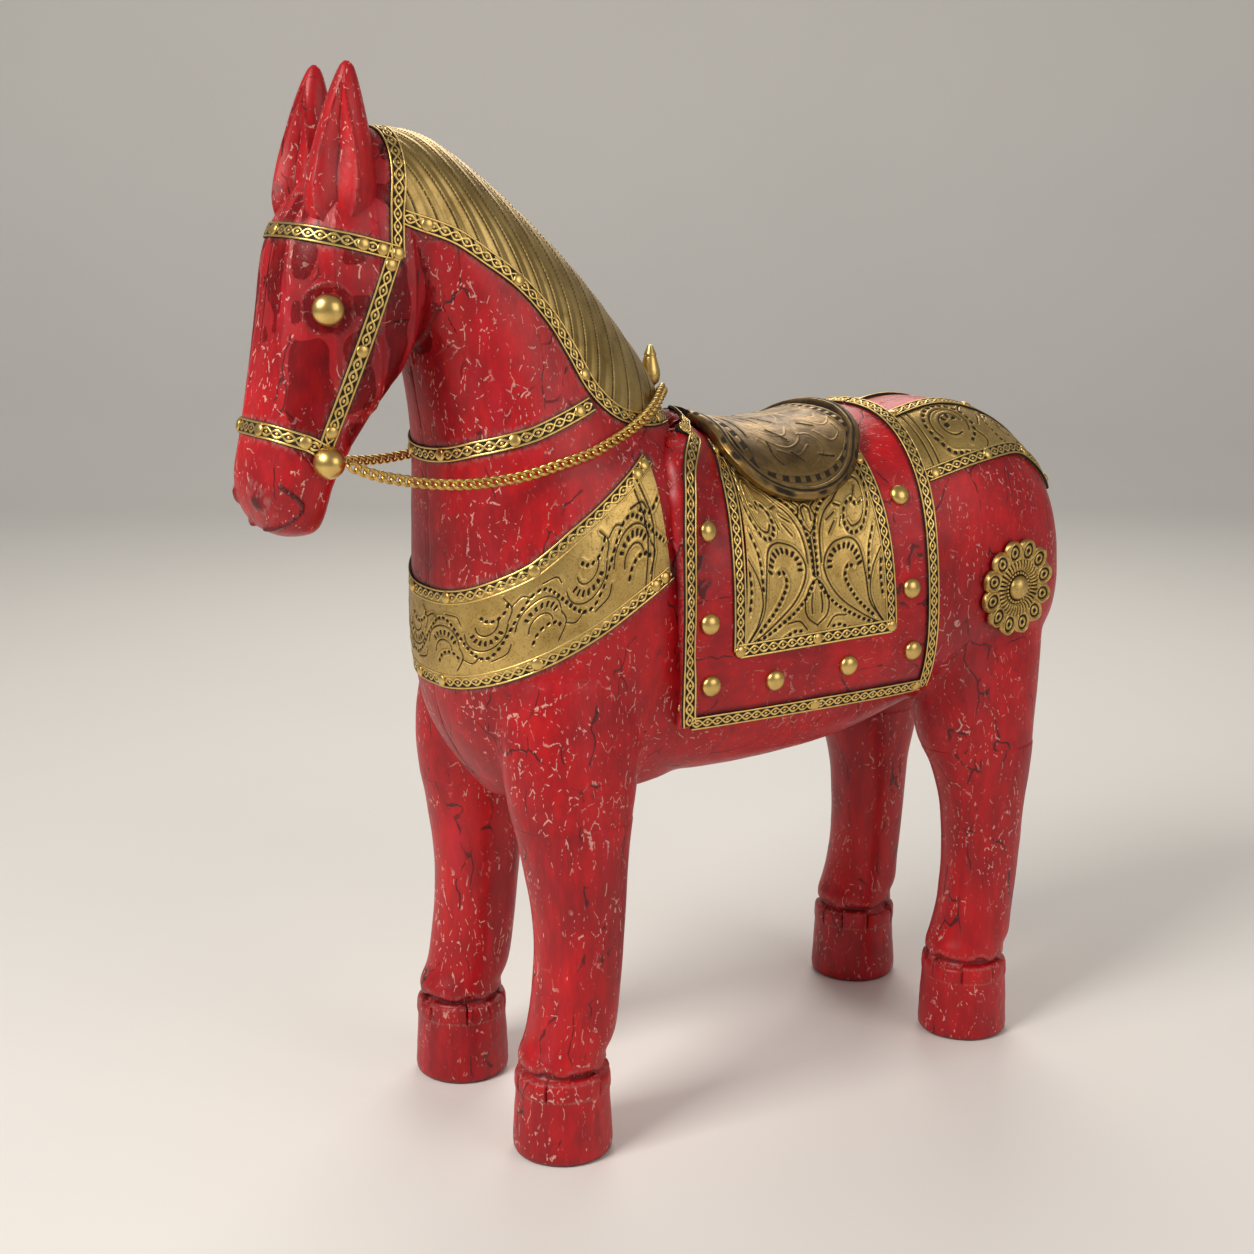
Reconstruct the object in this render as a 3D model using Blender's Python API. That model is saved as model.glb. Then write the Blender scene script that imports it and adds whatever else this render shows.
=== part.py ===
"""Carved and painted wooden horse with brass sheet fittings and chain reins.

The horse faces -Y, its left side is +X and +Z is up. While it is built, lengths along the
horse are measured back from the middle of the front feet. At the end everything moves by
FRONT_FEET_Y, so that the origin lies on the ground under the middle of the horse.

The timber is one smooth carved form, sawn where the real pieces are glued and dowelled.
Every brass sheet is a piece of a shell that lies over that form, cut out by its outline as
seen from the side.
"""
import math

import bmesh
import bpy
import numpy as np
from mathutils import Matrix, Vector
from mathutils.bvhtree import BVHTree

# ---- driving sizes, in metres ------------------------------------------------------------
FRONT_FEET_Y = -0.1270        # the front feet, from the middle of the horse
BARREL_START = 0.058          # front edge of the saddle cloth, behind the front feet
BARREL_LENGTH = 0.334         # from there to the end of the rump
WITHERS_SHARE = 0.175         # the part of it under the root of the neck
WITHERS_LENGTH = 0.05845
TRUNK_HALF_WIDTH = 0.0785
NECK_HALF_WIDTH = 0.0600
HEAD_HALF_WIDTH = 0.0400
FRONT_LEG_X = 0.0623          # half the spacing of the front legs
HIND_LEG_X = 0.0573           # half the spacing of the hind legs
LEG_RADIUS = 0.0250           # at the thinnest place of a leg
HOOF_RADIUS = 0.0287
HOOF_HEIGHT = 0.047
LEG_JOINT_Z = 0.193           # where the legs are glued under the body

GAP = 0.0003                  # between pieces that touch
SHEET = 0.0012                # brass sheet
SHEET_LIFT = 0.0004           # under a sheet, its own hammered unevenness
CLOTH_THICKNESS = 0.0080      # carved saddle cloth boards
SEAT_THICKNESS = 0.0060       # raised seat pad on the cloth
STRIP_WIDTH = 0.0084          # embossed brass edging
RIM_RADIUS = 0.0046           # rolled rim of the seat
RIM_FRONT_CORNER = 0.35669     # where the rim leaves the seat's straight ends, as shares of
RIM_REAR_CORNER = 0.33121      # the trunk's half width
STUD_RADIUS = 0.0062
STUD_HEIGHT = 0.0046
KNOB_RADIUS = 0.0086
EYE_RADIUS = 0.0083
EYE_LIFT = 0.0012             # of the flat back of an eye over the curved cheek
CLOTH_MARGIN = 0.0006         # of cloth outside its brass edging
ROSETTE_RADIUS = 0.0310
DOWEL_RADIUS = 0.0070
DOWEL_HALF_LENGTH = 0.0240
CHAIN_DIAMETER = 0.0065       # over the links
POST_FOOT_Z = 0.4153
POST_SHANK_RADIUS = 0.0018
POST_SHANK_LENGTH = 0.0100
POST_FLANGE_RADIUS = 0.0048

RED = (0.50, 0.008, 0.022)
BRASS = (0.42, 0.26, 0.075)
BEECH = (0.62, 0.45, 0.27)


# ---- small tools -------------------------------------------------------------------------
def clear_scene():
    """Remove every object of the start-up scene."""
    for leftover in list(bpy.data.objects):
        bpy.data.objects.remove(leftover, do_unlink=True)


def material(name, colour, roughness, metallic):
    """A Principled material of one sub-part."""
    finish = bpy.data.materials.new(name)
    finish.use_nodes = True
    shader = finish.node_tree.nodes["Principled BSDF"]
    shader.inputs["Base Color"].default_value = (*colour, 1.0)
    shader.inputs["Roughness"].default_value = roughness
    shader.inputs["Metallic"].default_value = metallic
    finish.diffuse_color = (*colour, 1.0)
    return finish


FINISHES = {
    "paint": (RED, 0.42, 0.0),
    "brass": (BRASS, 0.30, 1.0),
    "dowel": (BEECH, 0.65, 0.0),
}


def add_object(name, mesh, finish=None):
    """Link a mesh to the scene as an object, with a material of its own."""
    piece = bpy.data.objects.new(name, mesh)
    bpy.context.collection.objects.link(piece)
    if finish:
        mesh.materials.clear()
        mesh.materials.append(material(f"{name}_{finish}", *FINISHES[finish]))
    return piece


def mesh_from(points, faces, name="form"):
    """A mesh from points and faces, its faces turned outwards."""
    mesh = bpy.data.meshes.new(name)
    mesh.from_pydata([tuple(p) for p in points], [], [tuple(f) for f in faces])
    shell = bmesh.new()
    shell.from_mesh(mesh)
    bmesh.ops.recalc_face_normals(shell, faces=shell.faces)
    shell.to_mesh(mesh)
    shell.free()
    return mesh


def modified(mesh, *modifiers):
    """Apply modifiers, each (type, settings), to a mesh and return the new mesh."""
    carrier = add_object("carrier", mesh)
    for kind, settings in modifiers:
        modifier = carrier.modifiers.new(kind.lower(), kind)
        for setting, value in settings.items():
            setattr(modifier, setting, value)
    depsgraph = bpy.context.evaluated_depsgraph_get()
    result = bpy.data.meshes.new_from_object(carrier.evaluated_get(depsgraph))
    bpy.data.objects.remove(carrier, do_unlink=True)
    return result


def boolean(mesh, other, operation):
    """Boolean of two closed meshes. The surfaces moved out from the timber cross themselves
    in its tight corners, where the EXACT solver gives nothing, so MANIFOLD cuts them."""
    tool = add_object("tool", other)
    settings = {"operation": operation, "object": tool, "solver": "MANIFOLD"}
    result = modified(mesh, ("BOOLEAN", settings), ("TRIANGULATE", {}))
    bpy.data.objects.remove(tool, do_unlink=True)
    return result


def biggest_body(mesh):
    """Drop the crumbs that a cut leaves beside the biggest body."""
    shell = bmesh.new()
    shell.from_mesh(mesh)
    seen, bodies = set(), []
    for start in shell.verts:
        if start in seen:
            continue
        body, stack = [], [start]
        seen.add(start)
        while stack:
            vert = stack.pop()
            body.append(vert)
            for edge in vert.link_edges:
                other = edge.other_vert(vert)
                if other not in seen:
                    seen.add(other)
                    stack.append(other)
        bodies.append(body)
    bodies.sort(key=len)
    crumbs = [vert for body in bodies[:-1] for vert in body]
    bmesh.ops.delete(shell, geom=crumbs, context="VERTS")
    bmesh.ops.triangulate(shell, faces=shell.faces)
    shell.to_mesh(mesh)
    shell.free()
    return mesh


def box(low, high):
    """A closed box between two corners."""
    corners = [(x, y, z) for x in (low[0], high[0]) for y in (low[1], high[1])
               for z in (low[2], high[2])]
    faces = [(0, 1, 3, 2), (4, 6, 7, 5), (0, 4, 5, 1), (2, 3, 7, 6), (0, 2, 6, 4), (1, 5, 7, 3)]
    return mesh_from(corners, faces)


def prism(outline, low_x=-0.2, high_x=0.2):
    """A prism across the horse, from its outline seen from the side as (y, z) points."""
    count = len(outline)
    points = [(x, y, z) for x in (low_x, high_x) for y, z in outline]
    faces = [tuple(range(count)), tuple(range(2 * count - 1, count - 1, -1))]
    faces += [(i, (i + 1) % count, count + (i + 1) % count, count + i) for i in range(count)]
    return mesh_from(points, faces)


def stroke(route, width):
    """The outline of a band of one width along a route of (y, z) points."""
    route = np.array(route, float)
    along = np.gradient(route, axis=0)
    along /= np.linalg.norm(along, axis=1)[:, None]
    side = np.stack([-along[:, 1], along[:, 0]], 1) * width / 2
    return [tuple(p) for p in np.concatenate([route + side, (route - side)[::-1]])]


def smooth_route(route, count):
    """Catmull-Rom points through a route of points, evenly in its parameter."""
    route = np.array(route, float)
    padded = np.concatenate([[2 * route[0] - route[1]], route, [2 * route[-1] - route[-2]]])
    place = np.linspace(0, len(route) - 1, count)
    cell = np.minimum(place.astype(int), len(route) - 2)
    t = (place - cell)[:, None]
    a, b, c, d = (padded[cell + i] for i in range(4))
    return 0.5 * (2 * b + (c - a) * t + (2 * a - 5 * b + 4 * c - d) * t ** 2
                  + (3 * b - a - 3 * c + d) * t ** 3)


def ring_loft(stations, sides):
    """A closed loft. A station is (y, z) of its front or top point, (y, z) of its back or
    bottom point, half width, superellipse exponent, centre x and egg factor: a positive
    factor makes the ring narrower at its first point."""
    angle = np.arange(sides) * 2 * math.pi / sides
    cosine, sine = np.cos(angle), np.sin(angle)
    points = []
    for first, last, half_width, exponent, centre_x, egg in stations:
        first, last = np.array(first), np.array(last)
        power = 2 / exponent
        depth = np.sign(cosine) * abs(cosine) ** power
        width = np.sign(sine) * abs(sine) ** power * half_width * (1 - egg * depth)
        middle = (first + last) / 2 + np.outer(depth, first - last) / 2
        points += [(centre_x + w, y, z) for w, (y, z) in zip(width, middle)]
    faces = [tuple(range(sides)), tuple(range(len(points) - sides, len(points)))]
    for ring in range(len(stations) - 1):
        for i in range(sides):
            j = (i + 1) % sides
            start = ring * sides
            faces.append((start + i, start + j, start + sides + j, start + sides + i))
    return mesh_from(points, faces)


def joined(meshes):
    """Several meshes in one, as separate bodies."""
    shell = bmesh.new()
    for mesh in meshes:
        shell.from_mesh(mesh)
    result = bpy.data.meshes.new("joined")
    shell.to_mesh(result)
    shell.free()
    return result


def turned(profile, sides, cap=True):
    """A turned solid about +Z from (radius, z) points, bottom to top."""
    points, faces = [], []
    for radius, z in profile:
        for i in range(sides):
            angle = 2 * math.pi * i / sides
            points.append((radius * math.cos(angle), radius * math.sin(angle), z))
    for ring in range(len(profile) - 1):
        for i in range(sides):
            j = (i + 1) % sides
            start = ring * sides
            faces.append((start + i, start + j, start + sides + j, start + sides + i))
    if cap:
        faces.append(tuple(range(sides)))
        faces.append(tuple(range(len(points) - sides, len(points))))
    return mesh_from(points, faces)


def aimed(mesh, place, direction):
    """Turn a mesh built along +Z to a direction and move it to its place."""
    turn = Vector(direction).to_track_quat("Z", "Y").to_matrix().to_4x4()
    mesh.transform(Matrix.Translation(place) @ turn)
    return mesh


def mirrored(mesh):
    """A copy of a mesh on the horse's other side."""
    copy = mesh.copy()
    copy.transform(Matrix.Scale(-1, 4, (1, 0, 0)))
    copy.flip_normals()
    return copy


# ---- the carved timber -------------------------------------------------------------------
def barrel(share):
    """A place along the barrel, from 0 at the saddle cloth's front to 1 at the rump. The part
    under the root of the neck keeps its length, and the rest takes up the barrel's."""
    front, behind = min(share, WITHERS_SHARE), max(share - WITHERS_SHARE, 0)
    return (BARREL_START + front / WITHERS_SHARE * WITHERS_LENGTH
            + behind / (1 - WITHERS_SHARE) * (BARREL_LENGTH - WITHERS_LENGTH))


def trunk_form():
    """Barrel and rump, as rings from (share along the barrel, top z) to bottom z."""
    rings = [(-0.19, 0.340, 0.235, 0.70), (-0.12, 0.372, 0.212, 0.88), (0.00, 0.391, 0.203, 0.97),
             (0.14, 0.395, 0.198, 1.00), (0.30, 0.388, 0.198, 1.00), (0.45, 0.391, 0.203, 1.00),
             (0.58, 0.402, 0.214, 1.00), (0.69, 0.410, 0.225, 1.01), (0.78, 0.406, 0.230, 1.00),
             (0.86, 0.394, 0.232, 0.94), (0.92, 0.377, 0.240, 0.83), (0.965, 0.352, 0.255, 0.62),
             (0.985, 0.325, 0.280, 0.36)]
    stations = [((barrel(s), top), (barrel(s), bottom), w * TRUNK_HALF_WIDTH, 2.5, 0, 0.06)
                for s, top, bottom, w in rings]
    return ring_loft(stations, 28)


def neck_form():
    """Chest and neck, as rings from the throat (y, z) to the crest (y, z)."""
    chest = TRUNK_HALF_WIDTH
    neck = NECK_HALF_WIDTH
    stations = [((-0.010, 0.196), (0.110, 0.200), 0.50 * chest, 2.2, 0, 0),
                ((-0.030, 0.222), (0.130, 0.225), 0.76 * chest, 2.2, 0, 0),
                ((-0.0430, 0.250), (0.130, 0.255), 0.92 * chest, 2.3, 0, 0.05),
                ((-0.0470, 0.285), (0.130, 0.290), 1.00 * chest, 2.4, 0, 0.05),
                ((-0.0472, 0.325), (0.130, 0.335), 0.98 * chest, 2.4, 0, 0.03),
                ((-0.0470, 0.360), (0.122, 0.385), 0.90 * chest, 2.4, 0, 0),
                ((-0.0475, 0.392), (0.100, 0.408), 1.02 * neck, 2.2, 0, -0.10),
                ((-0.0510, 0.417), (0.089, 0.436), 0.89 * neck, 2.1, 0, -0.12),
                ((-0.0550, 0.440), (0.0665, 0.4660), 0.80 * neck, 2.1, 0, -0.12),
                ((-0.0590, 0.462), (0.0395, 0.4965), 0.73 * neck, 2.1, 0, -0.12),
                ((-0.0680, 0.482), (0.0065, 0.5265), 0.67 * neck, 2.1, 0, -0.10),
                ((-0.0830, 0.498), (-0.0240, 0.5505), 0.62 * neck, 2.1, 0, -0.08),
                ((-0.0980, 0.508), (-0.052, 0.5660), 0.56 * neck, 2.2, 0, -0.04),
                ((-0.1080, 0.514), (-0.080, 0.5690), 0.46 * neck, 2.2, 0, 0)]
    return ring_loft(stations, 28)


def leg_form(side, centre_x, centres, foot_y):
    """One leg with its hoof: centres are (z, y, half depth, half width, lean inwards) going down."""
    stations = []
    for z, y, half_depth, half_width, lean in centres:
        stations.append(((y - half_depth, z), (y + half_depth, z), half_width, 2.1,
                         side * (centre_x - lean), 0))
    hoof_top, groove = HOOF_HEIGHT, 0.0065
    for radius, z in ((LEG_RADIUS, hoof_top + 2 * groove), (LEG_RADIUS * 1.03, hoof_top + groove),
                      (LEG_RADIUS * 0.88, hoof_top + 0.55 * groove),
                      (LEG_RADIUS * 0.90, hoof_top), (HOOF_RADIUS * 0.94, hoof_top - 0.003),
                      (HOOF_RADIUS * 0.97, hoof_top * 0.5), (HOOF_RADIUS, 0.006),
                      (HOOF_RADIUS * 0.985, 0.0), (HOOF_RADIUS * 0.95, -0.004)):
        stations.append(((foot_y - radius, z), (foot_y + radius, z), radius, 2.0,
                         side * centre_x, 0))
    return ring_loft(stations, 24)


def front_leg_form(side):
    """A front leg, from inside the chest down."""
    r = LEG_RADIUS
    centres = [(0.275, 0.018, r + 0.018, r + 0.002, 0.014), (0.235, 0.013, r + 0.017, r + 0.003, 0.009),
               (0.205, 0.011, r + 0.0125, r + 0.004, 0.006),
               (0.171, 0.0112, r + 0.0050, r + 0.0035, 0.003),
               (0.135, 0.0120, r + 0.0010, r + 0.0008, 0.001), (0.100, 0.0095, r, r, 0),
               (0.072, 0.0055, r, r, 0)]
    return leg_form(side, FRONT_LEG_X, centres, 0.0)


def hind_leg_form(side):
    """A hind leg, from inside the thigh down."""
    r = LEG_RADIUS
    y = barrel(0.75)
    centres = [(0.290, y + 0.012, r + 0.024, r - 0.004, 0.010), (0.240, y + 0.006, r + 0.023, r, 0.006),
               (0.205, y + 0.003, r + 0.0190, r + 0.002, 0.003),
               (0.180, y + 0.007, r + 0.0100, r + 0.002, 0.001),
               (0.152, y + 0.0085, r + 0.0020, r + 0.001, 0),
               (0.119, y + 0.0085, r - 0.0006, r - 0.0006, 0),
               (0.088, y + 0.0060, r - 0.0010, r - 0.001, 0), (0.068, y + 0.0025, r, r, 0)]
    return leg_form(side, HIND_LEG_X, centres, hind_foot_y())


def hind_foot_y():
    """The middle of the hind feet, behind the front feet."""
    return barrel(0.75) - 0.0011


VOXEL = 0.0034
TIMBER_TRIANGLES = 2100


def carved(forms, triangles, smoothing=6):
    """Forms grown together, eased like carved wood, in about so many triangles."""
    remesh = ("REMESH", {"mode": "VOXEL", "voxel_size": VOXEL, "use_smooth_shade": False})
    ease = ("SMOOTH", {"factor": 0.5, "iterations": smoothing})
    fine = modified(joined(forms), remesh, ease)
    ratio = triangles / (2 * len(fine.polygons))
    coarse = modified(fine, ("DECIMATE", {"ratio": ratio, "use_collapse_triangulate": True}))
    return symmetric(coarse)


def symmetric(mesh):
    """The left half of a form and its mirror image, joined along the middle."""
    shell = bmesh.new()
    shell.from_mesh(mesh)
    everything = shell.verts[:] + shell.edges[:] + shell.faces[:]
    bmesh.ops.bisect_plane(shell, geom=everything, dist=1e-5, plane_co=(0, 0, 0),
                           plane_no=(-1, 0, 0), clear_outer=True)
    for vert in shell.verts:
        if abs(vert.co.x) < 2e-5:
            vert.co.x = 0.0
    everything = shell.verts[:] + shell.edges[:] + shell.faces[:]
    bmesh.ops.mirror(shell, geom=everything, axis="X", merge_dist=1e-5)
    bmesh.ops.triangulate(shell, faces=shell.faces)
    bmesh.ops.recalc_face_normals(shell, faces=shell.faces)
    result = bpy.data.meshes.new("symmetric")
    shell.to_mesh(result)
    shell.free()
    return result


def head_form():
    """The head from poll to muzzle, as rings from the face (y, z) to the jaw (y, z)."""
    w = HEAD_HALF_WIDTH
    stations = [((-0.108, 0.5450), (-0.072, 0.5500), 0.46 * w, 2.4, 0, 0),
                ((-0.118, 0.5330), (-0.058, 0.5380), 0.78 * w, 2.5, 0, 0),
                ((-0.128, 0.5180), (-0.049, 0.5170), 0.93 * w, 2.6, 0, 0),
                ((-0.1335, 0.5020), (-0.046, 0.4930), 0.99 * w, 2.7, 0, 0.03),
                ((-0.1370, 0.4800), (-0.054, 0.4690), 1.00 * w, 2.7, 0, 0.08),
                ((-0.1410, 0.4560), (-0.068, 0.4460), 0.97 * w, 2.7, 0, 0.12),
                ((-0.1450, 0.4330), (-0.084, 0.4260), 0.91 * w, 2.7, 0, 0.12),
                ((-0.1490, 0.4120), (-0.099, 0.4050), 0.84 * w, 2.6, 0, 0.10),
                ((-0.1530, 0.3930), (-0.108, 0.3860), 0.80 * w, 2.5, 0, 0.06),
                ((-0.1520, 0.3780), (-0.112, 0.3700), 0.72 * w, 2.4, 0, 0.02),
                ((-0.1460, 0.3660), (-0.116, 0.3615), 0.56 * w, 2.3, 0, 0),
                ((-0.1370, 0.3600), (-0.124, 0.3585), 0.26 * w, 2.2, 0, 0)]
    return ring_loft(stations, 28)


def ear_form(side):
    """A tall pointed ear with a hollow cut into its front, with its peg in the head."""
    rings = [(0.498, -0.1010, 0.0130, 0.0090), (0.517, -0.1015, 0.0165, 0.0115),
             (0.532, -0.1015, 0.0195, 0.0155), (0.552, -0.1005, 0.0165, 0.0140),
             (0.572, -0.0990, 0.0118, 0.0108), (0.588, -0.0975, 0.0072, 0.0070),
             (0.597, -0.0965, 0.0038, 0.0036), (0.600, -0.0962, 0.0012, 0.0012)]
    stations = [((y - depth, z), (y + depth, z), width, 2.2, side * EAR_X, 0)
                for z, y, depth, width in rings]
    return ring_loft(stations, 12)


EAR_X = 0.0205


# ---- laying sheet over the timber --------------------------------------------------------
def offset_mesh(mesh, distance):
    """A copy of a mesh with every point moved out along its normal."""
    copy = mesh.copy()
    count = len(copy.vertices)
    places = np.empty(count * 3, np.float32)
    normals = np.empty(count * 3, np.float32)
    copy.vertices.foreach_get("co", places)
    copy.vertex_normals.foreach_get("vector", normals)
    copy.vertices.foreach_set("co", places + normals * distance)
    copy.update()
    return copy


def laid(mesh, inner, thickness, area):
    """A sheet over a surface: what lies inside an area between two distances from it."""
    slab = boolean(area, offset_mesh(mesh, inner + thickness), "INTERSECT")
    return biggest_body(boolean(slab, offset_mesh(mesh, inner), "DIFFERENCE"))


class Surface:
    """Finds where a line across the horse meets the timber."""

    def __init__(self, mesh):
        shell = bmesh.new()
        shell.from_mesh(mesh)
        self.tree = BVHTree.FromBMesh(shell)
        shell.free()

    def top(self, x, y):
        """The highest point at (x, y), and the way out of it."""
        place, normal, _, _ = self.tree.ray_cast(Vector((x, y, 0.45)), Vector((0, 0, -1)))
        return place, normal

    def left(self, y, z):
        """The outermost point on the left side at (y, z), and the way out of it."""
        place, normal, _, _ = self.tree.ray_cast(Vector((0.3, y, z)), Vector((-1, 0, 0)))
        around = [self.tree.ray_cast(Vector((0.3, y + dy, z + dz)), Vector((-1, 0, 0)))[0]
                  for dy, dz in ((-0.006, -0.006), (0.006, -0.006), (0, 0.007))]
        if all(point is not None for point in around):
            normal = (around[1] - around[0]).cross(around[2] - around[0]).normalized()
            if normal.x < 0:
                normal = -normal
        return place, normal


# ---- outlines of the fittings, seen from the side ----------------------------------------
def inset_frame(front, rear, inset):
    """Front and rear edges of a panel, with shares of the barrel made into places, moved in
    by an inset. Each runs top to bottom, or bottom to top, at its lower corner."""
    front = [[barrel(share) + inset, z] for share, z in front]
    rear = [[barrel(share) - inset, z] for share, z in rear]
    front[-1][1] += inset
    rear[0][1] += inset
    return [tuple(p) for p in front + rear]


def cloth_outline(inset):
    """The saddle cloth. Its front edge turns back round the root of the neck."""
    front = [(0.175, 0.450), (0.160, 0.420), (0.145, 0.410), (0.075, 0.404), (0.033, 0.394),
             (0.030, 0.300), (0.033, 0.240)]
    rear = [(0.575, 0.242), (0.570, 0.330), (0.575, 0.390), (0.580, 0.450)]
    return inset_frame(front, rear, inset)


def flap_outline(inset):
    """The engraved panel below the seat."""
    front = [(0.160, 0.450), (0.145, 0.383), (0.127, 0.340), (0.120, 0.280)]
    rear = [(0.473, 0.282), (0.467, 0.345), (0.465, 0.385), (0.480, 0.450)]
    return inset_frame(front, rear, inset)


SEAT_EDGE = [(0.180, 0.450), (0.172, 0.402), (0.176, 0.388), (0.198, 0.3765), (0.240, 0.3680),
             (0.300, 0.3640), (0.360, 0.3665), (0.410, 0.3750), (0.452, 0.3880), (0.480, 0.4000),
             (0.500, 0.4100), (0.505, 0.450)]


def seat_outline(inset):
    """The seat: straight across the back in front and behind, and round below."""
    route = np.array([(barrel(share), z) for share, z in SEAT_EDGE])
    along = np.gradient(route, axis=0)
    along /= np.linalg.norm(along, axis=1)[:, None]
    inward = np.stack([-along[:, 1], along[:, 0]], 1)
    return [tuple(p) for p in route + inward * inset]


BROW = [(-0.1600, 0.5240), (-0.1246, 0.5159), (-0.1045, 0.5115), (-0.0790, 0.5050)]
NOSE = [(-0.1800, 0.4255), (-0.1444, 0.4163), (-0.1282, 0.4105), (-0.1216, 0.4060)]
CROWN = [(-0.0735, 0.6000), (-0.0738, 0.5500), (-0.0754, 0.5326), (-0.0790, 0.5123), (-0.0795, 0.5000)]
CHEEK = [(-0.0800, 0.5080), (-0.0850, 0.4969), (-0.1015, 0.4558), (-0.1180, 0.4146), (-0.1205, 0.4080)]
MANE_EDGE = [(-0.0770, 0.5235), (-0.0475, 0.5140), (-0.0299, 0.5031), (-0.0094, 0.4883),
             (0.0070, 0.4702), (0.0183, 0.4514), (0.0289, 0.4319), (0.0450, 0.4178), (0.0660, 0.4125),
             (0.0900, 0.4115)]
NECK_BAND = [(-0.0800, 0.3975), (-0.0479, 0.3968), (-0.0366, 0.4023), (-0.0101, 0.4098),
             (0.0160, 0.4200)]
BREAST_TOP = [(-0.0800, 0.3170), (-0.0469, 0.3187), (-0.0327, 0.3276), (-0.0155, 0.3380),
              (0.0060, 0.3560), (0.0308, 0.3740), (0.0563, 0.3926)]
BREAST_LOW = [(-0.0800, 0.2700), (-0.0452, 0.2719), (-0.0254, 0.2818), (-0.0070, 0.2914),
              (0.0146, 0.3034), (0.0394, 0.3182), (0.0625, 0.3314)]
CRUPPER_LOW = [(0.590, 0.3655), (0.705, 0.3740), (0.815, 0.3765), (0.880, 0.3670), (0.935, 0.3500)]
CRUPPER_INNER_X = 0.0200


def band_between(low, high, inset):
    """The area between two routes, moved in from both by an inset."""
    low = np.array(low) + np.array([0, inset])
    high = np.array(high) - np.array([0, inset])
    return [tuple(p) for p in np.concatenate([low, high[::-1]])]


# ---- the rein chains -----------------------------------------------------------------------
REIN_ROUTE = [(0.0462, -0.1130, 0.3998), (0.0478, -0.1055, 0.3963), (0.0495, -0.0965, 0.3932),
              (0.0510, -0.0872, 0.3911), (0.0540, -0.0710, 0.3882), (0.0580, -0.0492, 0.3868),
              (0.0610, -0.0271, 0.3883), (0.0632, -0.0130, 0.3908), (0.0645, -0.0039, 0.3933),
              (0.0662, 0.0079, 0.3964), (0.0660, 0.0207, 0.3998), (0.0640, 0.0339, 0.4046),
              (0.0600, 0.0472, 0.4093), (0.0558, 0.0595, 0.4153), (0.0480, 0.0712, 0.4208),
              (0.0415, 0.0780, 0.4242), (0.0350, 0.0840, 0.4264), (0.0280, 0.0895, 0.4274),
              (0.0206, 0.0940, 0.4266), (0.0130, 0.0972, 0.4242), (0.0070, 0.0985, 0.4221)]


def chain_tube(name, side):
    """One rein chain as a tube over its links, through the points of its route."""
    route = smooth_route(REIN_ROUTE, 30)
    curve = bpy.data.curves.new(name, "CURVE")
    curve.dimensions = "3D"
    curve.bevel_depth = CHAIN_DIAMETER / 2
    curve.bevel_resolution = 2
    curve.use_fill_caps = True
    spline = curve.splines.new("POLY")
    spline.points.add(len(route) - 1)
    for point, (x, y, z) in zip(spline.points, route):
        point.co = (side * x, y, z, 1)
    carrier = bpy.data.objects.new(name, curve)
    bpy.context.collection.objects.link(carrier)
    depsgraph = bpy.context.evaluated_depsgraph_get()
    mesh = bpy.data.meshes.new_from_object(carrier.evaluated_get(depsgraph))
    bpy.data.objects.remove(carrier, do_unlink=True)
    tube = bmesh.new()
    tube.from_mesh(mesh)
    bmesh.ops.remove_doubles(tube, verts=tube.verts, dist=1e-6)
    tube.to_mesh(mesh)
    tube.free()
    return mesh


# ---- small turned pieces -------------------------------------------------------------------
def dome(radius, height, sides=12, rings=3):
    """A domed head with a flat base."""
    profile = [(radius * 0.96, 0.0), (radius, radius * 0.08)]
    for i in range(1, rings + 1):
        angle = i / (rings + 0.35) * math.pi / 2
        profile.append((radius * math.cos(angle), height * math.sin(angle)))
    return turned(profile, sides)


def rosette_mesh():
    """A pressed flower: scalloped edge, raised ring and a centre dome."""
    petals, per_petal = 12, 3
    sides = petals * per_petal
    rings = [(0.96, -0.0012), (1.0, 0.0012), (0.62, 0.0022), (0.42, 0.0040), (0.28, 0.0045),
             (0.12, 0.0085)]
    points, faces = [], []
    for share, z in rings:
        for i in range(sides):
            angle = 2 * math.pi * i / sides
            scallop = 1 - 0.10 * abs(math.cos(petals * angle / 2)) ** 3 * (share > 0.6)
            radius = ROSETTE_RADIUS * share * scallop
            points.append((radius * math.cos(angle), radius * math.sin(angle), z))
    for ring in range(len(rings) - 1):
        for i in range(sides):
            j = (i + 1) % sides
            start = ring * sides
            faces.append((start + i, start + j, start + sides + j, start + sides + i))
    faces.append(tuple(range(sides)))
    faces.append(tuple(range(len(points) - sides, len(points))))
    return mesh_from(points, faces)


# ---- assembly --------------------------------------------------------------------------------
PIECES = {}


def keep(name, mesh, finish):
    """Name a finished piece."""
    mesh.name = name
    PIECES[name] = add_object(name, mesh, finish)
    return PIECES[name]


def keep_pair(name, mesh, finish):
    """Name a piece of the left side and its mirror image on the right."""
    keep(f"{name}_left", mesh, finish)
    keep(f"{name}_right", mirrored(mesh), finish)


def dowel_mesh(place, direction, half_length=DOWEL_HALF_LENGTH):
    """A plain dowel with chamfered ends, centred on its place."""
    chamfer = 0.001
    profile = [(DOWEL_RADIUS - chamfer, -half_length), (DOWEL_RADIUS, -half_length + chamfer),
               (DOWEL_RADIUS, half_length - chamfer), (DOWEL_RADIUS - chamfer, half_length)]
    return aimed(turned(profile, 8), place, direction)


def dowel_hole(place, direction, half_length=DOWEL_HALF_LENGTH):
    """The hole of a dowel, wider and deeper by the gap."""
    radius, reach = DOWEL_RADIUS + GAP, half_length + GAP
    return aimed(turned([(radius, -reach), (radius, reach)], 8), place, direction)


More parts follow.
